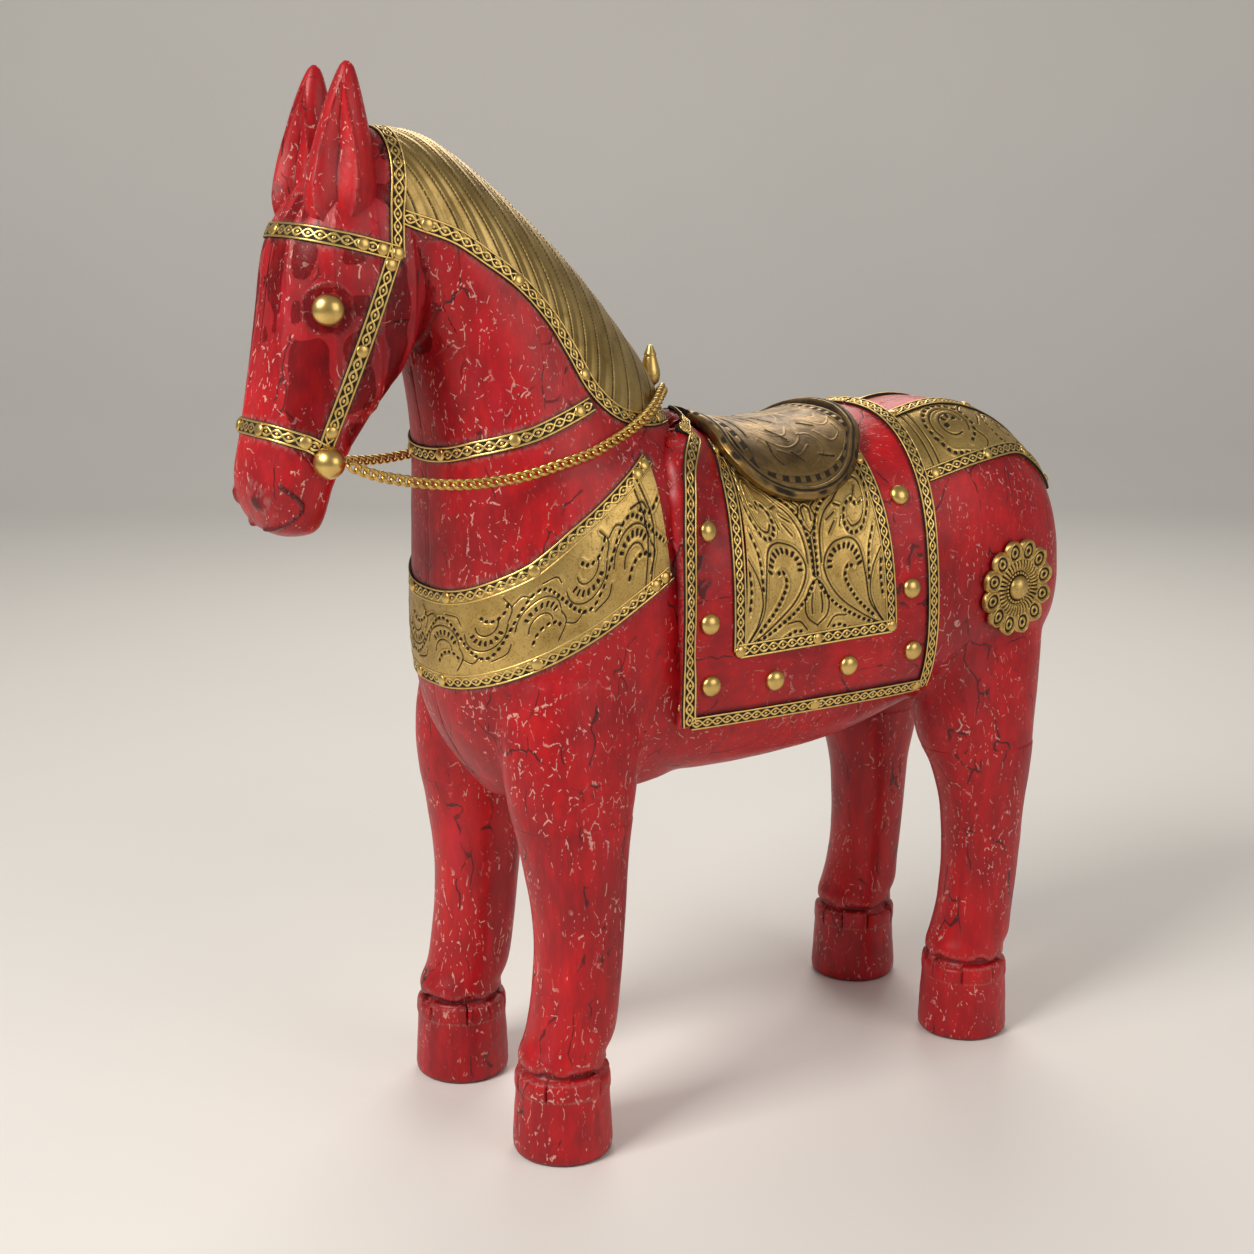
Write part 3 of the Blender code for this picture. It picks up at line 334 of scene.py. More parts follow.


# %% [markdown]
# ## Red paint
# The paint is a brushed crimson, semi-gloss, rubbed and cracked with age. Four things make it:
# cloudy shades of red, short pale scratches where the primer shows, thin dark cracks along the
# grain, and chips down to brown wood. A picture of paint could be wrapped round the form, but
# noise in the object's own space needs no seams. The marks `worn` and `shade`, stored in the
# meshes, say where brass strips have rubbed the paint, and where it is darkened: painted shade
# in grooves and hollows and beside the brass, and the dark glue line of the seam at the chest.

# %% Paint
def red_paint(name, grain, cracks=1.0):
    """Worn red paint. The grain says how far the pattern is squeezed along each axis."""
    f = Finish(name)
    grained = f.stretched(grain)
    wobble = f.noise(60.0, detail=3.0)
    bent = f.node("ShaderNodeMix", {"data_type": "VECTOR"}, {"Factor": 0.012}, 1)
    node = bent.socket.node
    f.feed(node.inputs[4], grained)
    f.feed(node.inputs[5], f.node("ShaderNodeTexNoise", {}, {"Vector": f.place, "Scale": 45.0,
                                                             "Detail": 2.0}, "Color"))
    clouds = f.noise(11.0, detail=4.0, rough=0.6)
    streaks = f.noise(160.0, grained, detail=4.0, rough=0.6)
    shade = clouds.step(0.35, 0.68) * 0.6 + streaks.step(0.38, 0.70) * 0.4
    color = f.mix(shade, (0.250, 0.0015, 0.0060), (0.560, 0.0040, 0.0075))
    pinker = f.noise(48.0, grained, detail=3.0).step(0.56, 0.74)
    color = f.mix(pinker * 0.35, color, (0.52, 0.010, 0.034))
    soot = f.noise(105.0, grained, detail=5.0, rough=0.65).step(0.60, 0.74)
    color = f.mix(soot * 0.55, color, (0.070, 0.0025, 0.004))

    edge = f.cells("DISTANCE_TO_EDGE", 150.0, bent)
    broken = f.noise(330.0, detail=2.0).step(0.53, 0.57)
    patchy = f.noise(34.0, detail=2.0).step(0.40, 0.58)
    scratch = edge.step(0.020, 0.042, 1.0, 0.0) * broken * patchy
    fleck_cell = f.cells("F1", 420.0, bent)
    chosen = f.cells("F1", 420.0, bent, "Color").math("GREATER_THAN", 0.72)
    fleck = fleck_cell.step(0.15, 0.24, 1.0, 0.0) * chosen * f.noise(31.0).step(0.40, 0.56)
    pale = scratch.most(fleck) * cracks
    long_cracks = f.cells("DISTANCE_TO_EDGE", 36.0, f.node("ShaderNodeMapping", {},
                          {"Vector": bent, "Location": (0.3, 0.1, 0.2)}, "Vector"))
    split = long_cracks.step(0.007, 0.015, 1.0, 0.0) * f.noise(48.0, detail=2.0).step(0.50, 0.58)
    chip = f.noise(150.0, grained, detail=5.0, rough=0.7).step(0.690, 0.712)
    rubbed = f.mark("worn") * f.noise(620.0, grained, detail=3.0).step(0.40, 0.58)

    color = f.mix(split * 0.85, color, (0.045, 0.004, 0.004))
    color = f.mix(pale * 0.80, color, (0.66, 0.36, 0.30))
    color = f.mix(chip, color, (0.095, 0.045, 0.030))
    color = f.mix(rubbed * 0.60, color, (0.30, 0.17, 0.15))
    # Near-black where the `shade` mark is high: painted shade in grooves, hollows and beside the brass, and
    # the dark glue seam.
    color = f.mix(f.mark("shade") * 0.92, color, (0.028, 0.003, 0.004))
    brushed = f.noise(330.0, grained, detail=4.0, rough=0.65)
    strokes = f.noise(900.0, f.stretched((1.0, 1.0, 0.35)), detail=2.0)
    height = brushed * 0.40 + strokes * 0.15 + wobble * 0.35 - split * 0.8 - chip * 0.7 - scratch * 0.35
    rough = 0.34 + brushed * 0.16 + pale * 0.25 + chip * 0.35 + rubbed * 0.3
    return f.set(Base_Color=color, Roughness=rough, Normal=f.bump(height, 0.0006, 0.65),
                 Coat_Weight=0.06, Coat_Roughness=0.25, Specular_IOR_Level=0.36)


body_paint = red_paint("red_paint_body", (1.0, 1.0, 0.45))
leg_paint = red_paint("red_paint_legs", (1.0, 1.0, 0.24))
cloth_paint = red_paint("red_paint_cloth", (1.0, 0.5, 0.9), 0.45)

# %% [markdown]
# ## Brass
# Old embossed brass is bright where hands rub it and brown-black in the lows, where tarnish and
# polish stay. The relief below is real geometry, and each mesh stores `tarnish`, from 0 on the
# highs to 1 in the lows, which mixes the two looks.

# %% Brass
def brass(name, light, mid, rough=0.30, stipple=0.5, dulled=0.5):
    """Brass with tarnish in the lows of its relief, and fine scratches."""
    f = Finish(name)
    low = f.mark("tarnish")
    grime = f.noise(120.0, detail=4.0, rough=0.65)
    patches = f.noise(38.0, detail=3.0)
    color = f.mix(patches.step(0.35, 0.68) * dulled + grime.step(0.45, 0.7) * 0.35, light, mid)
    specks = f.noise(850.0, detail=2.0).step(0.56, 0.66) * stipple
    color = f.mix(specks * 0.55, color, (0.13, 0.075, 0.020))
    dark = (low + (grime - 0.5) * 0.35).step(0.18, 0.78)
    color = f.mix(dark, color, (0.020, 0.013, 0.006))
    scratches = f.noise(900.0, f.stretched((1.0, 0.12, 0.5)), detail=3.0)
    height = scratches * 0.35 + f.noise(1100.0, detail=2.0) * stipple * 0.8
    roughness = rough + grime * 0.14 + dark * 0.40 + specks * 0.15
    return f.set(Base_Color=color, Metallic=1.0 - dark * 0.55, Roughness=roughness,
                 Normal=f.bump(height, 0.00022, 0.5), Specular_IOR_Level=0.5)


strip_brass = brass("brass_strip", (0.86, 0.60, 0.20), (0.66, 0.42, 0.11), 0.27, 0.15, 0.3)
plate_brass = brass("brass_plate", (0.64, 0.44, 0.15), (0.36, 0.225, 0.060), 0.32, 0.75)
mane_brass = brass("brass_mane", (0.52, 0.37, 0.14), (0.26, 0.165, 0.050), 0.33, 0.25, 0.6)
seat_brass = brass("brass_seat", (0.34, 0.215, 0.075), (0.13, 0.075, 0.024), 0.30, 0.35, 0.8)
nail_brass = brass("brass_nails", (0.72, 0.50, 0.17), (0.50, 0.33, 0.09), 0.25, 0.15, 0.35)
chain_brass = brass("brass_chain", (0.66, 0.44, 0.13), (0.42, 0.26, 0.07), 0.28, 0.1, 0.35)

# %% [markdown]
# ## The reins
# Each rein is a curb chain from the knob at the mouth to the post behind the mane. It rests on
# the neck, so it follows the neck's curve and cannot fall further. A chain could be a curve with
# a repeated link, but a curb link is twisted, and each twisted oval has to pass through the next
# one. So one link is worked out as a ring and laid at every pitch along the route, as one array.

# %% Rein chains
REIN_ROUTE = [(0.0462, -0.1130, 0.3998), (0.0478, -0.1055, 0.3963), (0.0495, -0.0965, 0.3932),
              (0.0510, -0.0872, 0.3911), (0.0540, -0.0710, 0.3882), (0.0580, -0.0492, 0.3868),
              (0.0610, -0.0271, 0.3883), (0.0632, -0.0130, 0.3908), (0.0645, -0.0039, 0.3933),
              (0.0662, 0.0079, 0.3964), (0.0660, 0.0207, 0.3998), (0.0640, 0.0339, 0.4046),
              (0.0600, 0.0472, 0.4093), (0.0558, 0.0595, 0.4153), (0.0480, 0.0712, 0.4208),
              (0.0415, 0.0780, 0.4242), (0.0350, 0.0840, 0.4264), (0.0280, 0.0895, 0.4274),
              (0.0206, 0.0940, 0.4266), (0.0130, 0.0972, 0.4242), (0.0070, 0.0985, 0.4221)]
LINK_PITCH = 0.0048
LINK_HALF_LENGTH, LINK_HALF_WIDTH, WIRE_RADIUS = 0.00335, 0.00222, 0.00104
LINK_TWIST = 0.80


def chain_mesh(route, around=20, sides=7):
    """Twisted rings along a route. The middle of a ring's wire runs over an angle a as
    x = half length cos a, y = half width sin a, and is turned about the chain by an angle that
    grows with x, so that the end of one link lies across the start of the next."""
    line, along = even_line(smooth_line(route, 400), LINK_PITCH)
    centres = (line[1:] + line[:-1]) / 2
    ahead = unit(line[1:] - line[:-1])
    out = np.array([1.0, 0.0, 0.35]) * [np.sign(route[0][0]), 1, 1]
    out = unit(out - (ahead @ out)[:, None] * ahead)
    across = np.cross(out, ahead)
    a = np.linspace(0, 2 * np.pi, around, endpoint=False)
    x, y = LINK_HALF_LENGTH * np.cos(a), LINK_HALF_WIDTH * np.sin(a)
    turn = LINK_TWIST * x / LINK_HALF_LENGTH
    wire = np.stack([x, y * np.cos(turn), y * np.sin(turn)], 1)
    forward = unit(np.roll(wire, -1, 0) - np.roll(wire, 1, 0))
    up = unit(np.cross(forward, unit(wire * [1, 1, 1])))
    side = np.cross(up, forward)
    b = np.linspace(0, 2 * np.pi, sides, endpoint=False)
    ring = wire[:, None] + WIRE_RADIUS * (up[:, None] * np.cos(b)[None, :, None]
                                          + side[:, None] * np.sin(b)[None, :, None])
    ring = ring.reshape(-1, 3)
    links = (centres[:, None] + ring[None, :, :1] * ahead[:, None] + ring[None, :, 1:2] * across[:, None]
             + ring[None, :, 2:] * out[:, None])
    face = quads(around, sides, True, True)
    faces = (face[None] + (np.arange(len(links)) * len(ring))[:, None, None]).reshape(-1, 4)
    mesh = mesh_of("chain", links.reshape(-1, 3), [faces], 80)
    mark(mesh, "tarnish", np.zeros(len(mesh.vertices)) + 0.12)
    return mesh, line


for side_name, side in (("left", 1), ("right", -1)):
    rein_route = np.array(REIN_ROUTE) * [side, 1, 1] + [0, FEET_Y, 0]
    rein_mesh, rein_line = chain_mesh(rein_route)
    rein = add_piece(f"chain_rein_{side_name}", rein_mesh, chain_brass,
                     [f"rein_chain_{side_name}"], f"{side_name}_rein")

# %% [markdown]
# ## Carved forms
# The carver's forms are stacks of rounded sections: barrel, chest and neck, head, legs. A section
# is a superellipse, which goes from a circle to a rounded box as its exponent rises. Sculpting
# by hand would also work, but sections keep the sizes exact. The forms overlap, so a voxel remesh
# grows them into one skin, and a smoothing eases the joins the way a rasp does.

# %% Lofts
def loft(stations, steps=4, sides=56):
    """A closed form through sections. Each is (y, z) of its first point, (y, z) of its last,
    half width, exponent, middle x and egg factor. At an angle a the place between first and last
    goes as |cos a| to the power 2 / exponent, and x as |sin a| to the same power."""
    stations = smooth_line(stations, (len(stations) - 1) * steps + 1)
    first, last = stations[:, 0:2], stations[:, 2:4]
    half_width, exponent, middle_x, egg = (stations[:, i, None] for i in range(4, 8))
    a = np.linspace(0, 2 * np.pi, sides, endpoint=False)[None]
    depth = np.sign(np.cos(a)) * abs(np.cos(a)) ** (2 / exponent)
    width = np.sign(np.sin(a)) * abs(np.sin(a)) ** (2 / exponent) * half_width * (1 - egg * depth)
    place = (first + last)[:, None] / 2 + depth[..., None] * (first - last)[:, None] / 2
    rings = np.concatenate([(middle_x + width)[..., None], place], -1)
    ends = np.stack([rings[0].mean(0), rings[-1].mean(0)])
    rows = len(rings)
    fan = np.arange(sides)
    low = np.stack([np.full(sides, rows * sides), (fan + 1) % sides, fan], 1)
    high = np.stack([np.full(sides, rows * sides + 1), (rows - 1) * sides + fan,
                     (rows - 1) * sides + (fan + 1) % sides], 1)
    points = np.concatenate([rings.reshape(-1, 3), ends]) + [0, FEET_Y, 0]
    return points, [quads(rows, sides, False, True), low, high]


def together(forms):
    """Several forms in one mesh."""
    points, faces, count = [], [], 0
    for form, parts in forms:
        points.append(form)
        faces += [part + count for part in parts]
        count += len(form)
    return mesh_of("forms", np.concatenate(points), faces)


def trunk_form():
    """Barrel and rump, from (share along the barrel, top z, bottom z, width)."""
    rings = [(-0.19, 0.340, 0.235, 0.70), (-0.12, 0.372, 0.212, 0.88), (0.00, 0.391, 0.203, 0.97),
             (0.14, 0.395, 0.198, 1.00), (0.30, 0.388, 0.198, 1.00), (0.45, 0.391, 0.203, 1.00),
             (0.58, 0.402, 0.214, 1.00), (0.69, 0.410, 0.225, 1.01), (0.78, 0.406, 0.230, 1.00),
             (0.86, 0.394, 0.232, 0.94), (0.92, 0.377, 0.240, 0.83), (0.965, 0.352, 0.255, 0.62),
             (0.985, 0.325, 0.280, 0.36)]
    return loft([(barrel(s), top, barrel(s), low, w * TRUNK_WIDTH, 2.5, 0, 0.06)
                 for s, top, low, w in rings])


def neck_form():
    """Chest and neck, from the throat (y, z) to the crest (y, z)."""
    chest, neck = TRUNK_WIDTH, NECK_WIDTH
    return loft([(-0.010, 0.196, 0.110, 0.200, 0.50 * chest, 2.2, 0, 0),
                 (-0.030, 0.222, 0.130, 0.225, 0.76 * chest, 2.2, 0, 0),
                 (-0.0430, 0.250, 0.130, 0.255, 0.92 * chest, 2.3, 0, 0.05),
                 (-0.0470, 0.285, 0.130, 0.290, 1.00 * chest, 2.4, 0, 0.05),
                 (-0.0472, 0.325, 0.130, 0.335, 0.98 * chest, 2.4, 0, 0.03),
                 (-0.0470, 0.360, 0.122, 0.385, 0.90 * chest, 2.4, 0, 0),
                 (-0.0475, 0.392, 0.100, 0.408, 1.02 * neck, 2.2, 0, -0.10),
                 (-0.0510, 0.417, 0.089, 0.436, 0.89 * neck, 2.1, 0, -0.12),
                 (-0.0550, 0.440, 0.0665, 0.4660, 0.80 * neck, 2.1, 0, -0.12),
                 (-0.0590, 0.462, 0.0395, 0.4965, 0.73 * neck, 2.1, 0, -0.12),
                 (-0.0680, 0.482, 0.0065, 0.5265, 0.67 * neck, 2.1, 0, -0.10),
                 (-0.0830, 0.498, -0.0240, 0.5505, 0.62 * neck, 2.1, 0, -0.08),
                 (-0.0980, 0.508, -0.052, 0.5660, 0.56 * neck, 2.2, 0, -0.04),
                 (-0.1080, 0.514, -0.080, 0.5690, 0.46 * neck, 2.2, 0, 0)])


def head_form():
    """The head, from the face (y, z) to the jaw (y, z)."""
    w = HEAD_WIDTH
    return loft([(-0.108, 0.5450, -0.072, 0.5500, 0.46 * w, 2.4, 0, 0),
                 (-0.118, 0.5330, -0.058, 0.5380, 0.78 * w, 2.5, 0, 0),
                 (-0.128, 0.5180, -0.049, 0.5170, 0.93 * w, 2.6, 0, 0),
                 (-0.1335, 0.5020, -0.046, 0.4930, 0.99 * w, 2.7, 0, 0.03),
                 (-0.1370, 0.4800, -0.054, 0.4690, 1.00 * w, 2.7, 0, 0.08),
                 (-0.1410, 0.4560, -0.068, 0.4460, 0.97 * w, 2.7, 0, 0.12),
                 (-0.1450, 0.4330, -0.084, 0.4260, 0.91 * w, 2.7, 0, 0.12),
                 (-0.1490, 0.4120, -0.099, 0.4050, 0.84 * w, 2.6, 0, 0.10),
                 (-0.1530, 0.3930, -0.108, 0.3860, 0.80 * w, 2.5, 0, 0.06),
                 (-0.1520, 0.3780, -0.112, 0.3700, 0.72 * w, 2.4, 0, 0.02),
                 (-0.1460, 0.3660, -0.116, 0.3615, 0.56 * w, 2.3, 0, 0),
                 (-0.1370, 0.3600, -0.124, 0.3585, 0.26 * w, 2.2, 0, 0)])


def leg_form(side, middle_x, sections, foot_y):
    """A leg down to its fetlock, from (z, y, half depth, half width, lean inwards)."""
    stations = [(y - depth, z, y + depth, z, width, 2.1, side * (middle_x - lean), 0)
                for z, y, depth, width, lean in sections]
    r = LEG_RADIUS
    stations += [(foot_y - r * k, z, foot_y + r * k, z, r * k, 2.0, side * middle_x, 0)
                 for k, z in ((1.0, 0.0600), (1.02, 0.0540))]
    return loft(stations)


def front_leg(side):
    r = LEG_RADIUS
    return leg_form(side, FRONT_LEG_X,
                    [(0.275, 0.018, r + 0.018, r + 0.002, 0.014), (0.235, 0.013, r + 0.017, r + 0.003, 0.009),
                     (0.205, 0.011, r + 0.0125, r + 0.004, 0.006),
                     (0.171, 0.0112, r + 0.0050, r + 0.0035, 0.003),
                     (0.135, 0.0120, r + 0.0010, r + 0.0008, 0.001), (0.100, 0.0095, r, r, 0),
                     (0.072, 0.0055, r, r, 0)], 0.0)


def hind_leg(side):
    r, y = LEG_RADIUS, barrel(0.75)
    return leg_form(side, HIND_LEG_X,
                    [(0.290, y + 0.012, r + 0.024, r - 0.004, 0.010), (0.240, y + 0.006, r + 0.023, r, 0.006),
                     (0.205, y + 0.003, r + 0.0190, r + 0.002, 0.003),
                     (0.180, y + 0.007, r + 0.0100, r + 0.002, 0.001),
                     (0.152, y + 0.0085, r + 0.0020, r + 0.001, 0),
                     (0.119, y + 0.0085, r - 0.0006, r - 0.0006, 0),
                     (0.088, y + 0.0060, r - 0.0010, r - 0.001, 0), (0.068, y + 0.0025, r, r,
                                                                     0)], HIND_FOOT_Y)


def grown(forms, voxel, easing):
    """Forms grown into one skin of even faces and eased."""
    return worked(together(forms), ("REMESH", {"mode": "VOXEL", "voxel_size": voxel}),
                  ("SMOOTH", {"factor": 0.5, "iterations": easing}))


def box_mesh(low, high):
    """A closed box between two corners."""
    points = np.array([(x, y, z) for x in (low[0], high[0]) for y in (low[1], high[1])
                       for z in (low[2], high[2])], float)
    faces = np.array([(0, 1, 3, 2), (4, 6, 7, 5), (0, 4, 5, 1), (2, 3, 7, 6), (0, 2, 6, 4), (1, 5, 7, 3)])
    return mesh_of("box", points, [faces])


def prism_mesh(outline, low_x=-0.2, high_x=0.2):
    """A block across the horse, from its outline seen from the side."""
    side = np.array(outline, float)
    n = len(side)
    points = np.concatenate([np.insert(side, 0, x, axis=1) for x in (low_x, high_x)])
    ring = np.arange(n)
    walls = np.stack([ring, ring + n, (ring + 1) % n + n, (ring + 1) % n], 1)
    caps = np.stack([ring, ring[::-1] + n])
    points[:, 1] += FEET_Y
    return mesh_of("prism", points, [walls[:, ::-1], caps[:, ::-1]])


def cut(mesh, tool, operation):
    """A mesh cut by, or kept inside, a closed tool."""
    helper = bpy.data.objects.new("tool", tool)
    bpy.context.scene.collection.objects.link(helper)
    result = worked(mesh, ("BOOLEAN", {"object": helper, "operation": operation, "solver": "MANIFOLD"}))
    bpy.data.objects.remove(helper, do_unlink=True)
    return result


SKIN_VOXEL, HEAD_VOXEL = 0.0023, 0.0014
limbs = [front_leg(1), front_leg(-1), hind_leg(1), hind_leg(-1)]
skin_mesh = grown([trunk_form(), neck_form(), head_form()] + limbs, SKIN_VOXEL, 18)
skin = bpy.data.objects.new("guide_skin", skin_mesh)
bpy.context.scene.collection.objects.link(skin)
skin.hide_render = True
print("skin", len(skin_mesh.polygons), "faces")

# %% [markdown]
# ## Working on the skin
# Sheet metal and nails lie on the skin, so three questions come up again and again: which skin
# point is nearest, where a line across the horse meets the skin, and which way the skin faces.
# A Shrinkwrap modifier on a cloud of loose points answers the first two for a whole array at once.
# The way out is the step from a skin point to a place just above it, asked twice.

# %% Pins on the skin
SPINE = np.array([(0, 0.360, 0.320), (0, 0.100, 0.300), (0, 0.045, 0.330), (0, 0.0, 0.470),
                  (0, -0.075, 0.535), (0, -0.095, 0.500), (0, -0.132, 0.385)]) + [0, FEET_Y, 0]


def pinned(points, **settings):
    """The same array of points after a shrinkwrap onto the skin."""
    cloud = mesh_of("pins", points.reshape(-1, 3), [])
    moved = worked(cloud, ("SHRINKWRAP", {"target": skin, **settings}))
    return points_of(moved).reshape(points.shape)


def nearest(points):
    return pinned(points, wrap_method="NEAREST_SURFACEPOINT")


def left_side(route, from_x=0.2):
    """Where lines along X, through side-view (y, z) points, meet the horse's left side."""
    route = np.array(route, float)
    points = np.concatenate([np.full((*route.shape[:-1], 1), from_x), route], -1)
    points[..., 1] += FEET_Y
    return pinned(points, wrap_method="PROJECT", use_project_x=True, use_negative_direction=True,
                  use_positive_direction=False)


def line_gap(points, line):
    """Distance of points to a polyline, how far along it the nearest place is, and that place."""
    start, step = line[:-1], np.diff(line, axis=0)
    size = np.maximum((step ** 2).sum(1), 1e-18)
    reach = np.concatenate([[0], np.cumsum(np.sqrt(size))])
    gaps, alongs, places = [], [], []
    flat = points.reshape(-1, points.shape[-1])
    for group in np.array_split(flat, len(flat) * len(start) // 1500000 + 1):
        t = np.clip(((group[:, None] - start) * step).sum(-1) / size, 0, 1)
        place = start + t[..., None] * step
        gap = np.linalg.norm(group[:, None] - place, axis=-1)
        best = gap.argmin(1)
        rows = np.arange(len(group))
        gaps.append(gap[rows, best])
        alongs.append(reach[best] + t[rows, best] * np.sqrt(size)[best])
        places.append(place[rows, best])
    shape = points.shape[:-1]
    return (np.concatenate(gaps).reshape(shape), np.concatenate(alongs).reshape(shape),
            np.concatenate(places).reshape(points.shape))


def way_out(points):
    """The direction straight out of the skin at points on it."""
    ways = unit(points - line_gap(points, SPINE)[2])
    for _ in range(3):
        above = points + ways * 0.0025
        ways = unit(above - nearest(above))
    return ways


def over_front(route, ends_at=1.0):
    """A line over the face or chest, level with a side-view route from front (y, z) to side.
    The first guess is a half ellipse. Then the height is taken from the route and the point
    from the skin, in turn, until both agree."""
    route = np.array(route, float)
    end = left_side(route[-1:])[0]
    a = np.linspace(-1, 1, 161) * np.pi / 2 * ends_at
    front_y = route[1, 0] + FEET_Y
    line = np.stack([end[0] * np.sin(a), end[1] + (front_y - end[1]) * np.cos(a),
                     np.zeros(len(a))], 1)
    for _ in range(6):
        line[:, 2] = np.interp(line[:, 1] - FEET_Y, route[:, 0], route[:, 1])
        line = nearest(line)
    line[:, 2] = np.interp(line[:, 1] - FEET_Y, route[:, 0], route[:, 1])
    return line


def grid_ways(grid):
    """The outward direction of a grid of skin points: the cross product of its two steps."""
    ways = unit(np.cross(np.gradient(grid, axis=0), np.gradient(grid, axis=1)))
    middle = grid[grid.shape[0] // 2, grid.shape[1] // 2]
    guess = middle - line_gap(middle[None], SPINE)[2][0]
    sign = np.sign((ways[grid.shape[0] // 2, grid.shape[1] // 2] * guess).sum())
    return ways * sign, sign > 0


def eased(grid, passes):
    """A grid smoothed along both its directions. The ends carry on straight, so they stay."""
    for axis, count in enumerate(passes):
        for _ in range(count):
            first, second = np.take(grid, [0], axis), np.take(grid, [1], axis)
            last, before = np.take(grid, [-1], axis), np.take(grid, [-2], axis)
            wide = np.concatenate([2 * first - second, grid, 2 * last - before], axis)
            n = grid.shape[axis]
            grid = (np.take(wide, range(n), axis) + 2 * grid + np.take(wide, range(2, n + 2), axis)) / 4
    return grid


def pressed(grid, height, tarnish, foot=-0.0004, passes=(10, 4)):
    """A closed sheet on the skin: a grid raised by a height along the way out, walls down to its
    foot, and an underside that spans from side to side below the sheet."""
    grid = eased(grid, passes)
    ways, upright = grid_ways(grid)
    rows, cols = grid.shape[:2]
    top = grid + ways * height[..., None]
    n = rows * cols
    number = np.arange(n).reshape(rows, cols)
    rim = np.concatenate([number[0, :], number[1:, -1], number[-1, -2::-1], number[-2:0:-1, 0]])
    feet = (grid + ways * foot).reshape(-1, 3)[rim]
    count = len(rim)
    k = np.arange(count)
    walls = np.stack([rim, n + k, n + (k + 1) % count, rim[(k + 1) % count]], 1)
    foot_of = np.full(n, -1)
    foot_of[rim] = n + k
    left, right = foot_of[number[1:-1, 0]], foot_of[number[1:-1, -1]]
    under = np.stack([left[:-1], right[:-1], right[1:], left[1:]], 1)
    first = np.concatenate([foot_of[number[0, :]], [right[0], left[0]]])[None]
    last = np.concatenate([[left[-1], right[-1]], foot_of[number[-1, ::-1]]])[None]
    parts = [quads(rows, cols), walls, under, first, last]
    if not upright:
        parts = [part[:, ::-1] for part in parts]
    mesh = mesh_of("sheet", np.concatenate([top.reshape(-1, 3), feet]), parts, 65)
    mark(mesh, "tarnish", np.concatenate([tarnish.ravel(), np.full(count, 0.85)]))
    return mesh


def soft(x, low, high):
    """Rises smoothly from 0 to 1 as x goes from low to high."""
    t = np.clip((x - low) / (high - low), 0, 1)
    return t * t * (3 - 2 * t)


# %% [markdown]
# ## Embossed edging
# Brass strip about 8 mm wide is pressed in a die: two beads along the edges, and between them
# two waving strands that cross and leave an oval in each loop. The height is a formula of the
# place along and across the strip, so one function serves all the edging on the horse.

# %% Edging strip
STRIP_STEP, STRIP_COLUMNS = 0.0006, 19
SHEET_TOP = 0.0010
LOOP = 0.0066


def braid(along, across):
    """Height in metres and tarnish, from the place along in metres and across from -1 to 1.
    The strands are at +A sin and -A sin of a turn per two loops. A bead or strand is round:
    the root of one less its offset squared."""
    turn = np.pi * along / LOOP
    wave = 0.47 * np.sin(turn)
    strands = np.minimum(abs(across - wave), abs(across + wave)) / 0.155
    middle = (np.mod(along / LOOP, 1) - 0.5) * LOOP
    oval = np.sqrt((middle / 0.0011) ** 2 + (across / 0.20) ** 2)
    bead = abs(abs(across) - 0.84) / 0.15
    height = np.zeros(strands.shape)
    for size, offset in ((0.00060, bead), (0.00046, strands), (0.00042, oval)):
        height = np.maximum(height, size * np.sqrt(np.clip(1 - offset ** 2, 0, 1)))
    return height, 1 - soft(height, 0.00008, 0.00034)


def strip_mesh(line, width=STRIP_WIDTH, lift=0.0):
    """Edging along a line: its points are stepped sideways, pinned to the skin, and raised by
    the braid. On the saddle cloth the line lies above the skin by the lift."""
    line, along = even_line(line, STRIP_STEP)
    line = eased(line, (8,))
    ahead = unit(np.gradient(line, axis=0))
    side = eased(unit(np.cross(way_out(nearest(line)), ahead)), (8,))
    across = np.linspace(-1, 1, STRIP_COLUMNS)
    grid = nearest(line[:, None] + side[:, None] * (across * width / 2)[None, :, None])
    height, tarnish = braid(along[:, None], across[None])
    return pressed(grid, height + SHEET_TOP + lift, tarnish, lift - 0.0004)


def side_line(route, count=120):
    """A smooth line on the horse's left side along a side-view route."""
    return left_side(smooth_line(route, count))


BROW = [(-0.1600, 0.5240), (-0.1246, 0.5159), (-0.1045, 0.5115), (-0.0790, 0.5050)]
NOSE = [(-0.1800, 0.4255), (-0.1444, 0.4163), (-0.1282, 0.4105), (-0.1216, 0.4060)]
CHEEK = [(-0.0800, 0.5080), (-0.0850, 0.4969), (-0.1015, 0.4558), (-0.1180, 0.4146), (-0.1200, 0.4085)]
MANE_EDGE = [(-0.0740, 0.5232), (-0.0475, 0.5140), (-0.0299, 0.5031), (-0.0094, 0.4883),
             (0.0070, 0.4702), (0.0183, 0.4514), (0.0289, 0.4319), (0.0450, 0.4178), (0.0660, 0.4125),
             (0.0890, 0.4115)]
NECK_BAND = [(-0.0800, 0.3975), (-0.0479, 0.3968), (-0.0366, 0.4023), (-0.0101, 0.4098), (0.0260, 0.4240)]
BREAST_TOP = [(-0.0800, 0.3170), (-0.0469, 0.3187), (-0.0327, 0.3276), (-0.0155, 0.3380),
              (0.0060, 0.3560), (0.0308, 0.3740), (0.0563, 0.3926)]
BREAST_LOW = [(-0.0800, 0.2700), (-0.0452, 0.2719), (-0.0254, 0.2818), (-0.0070, 0.2914),
              (0.0146, 0.3034), (0.0394, 0.3182), (0.0625, 0.3314)]


def crown_line():
    """Over the head behind the ears: a half ellipse between the two sides, then pinned."""
    end = left_side([(-0.0795, 0.5030)])[0]
    a = np.linspace(-1, 1, 161) * np.pi / 2
    rise = np.cos(a)
    line = np.stack([end[0] * np.sin(a), end[1] + 0.0062 * rise, end[2] + (0.569 - end[2]) * rise], 1)
    for _ in range(3):
        line = nearest(line)
        line[:, 1] = end[1] + 0.0062 * soft(line[:, 2], 0.503, 0.560)
    return nearest(line)


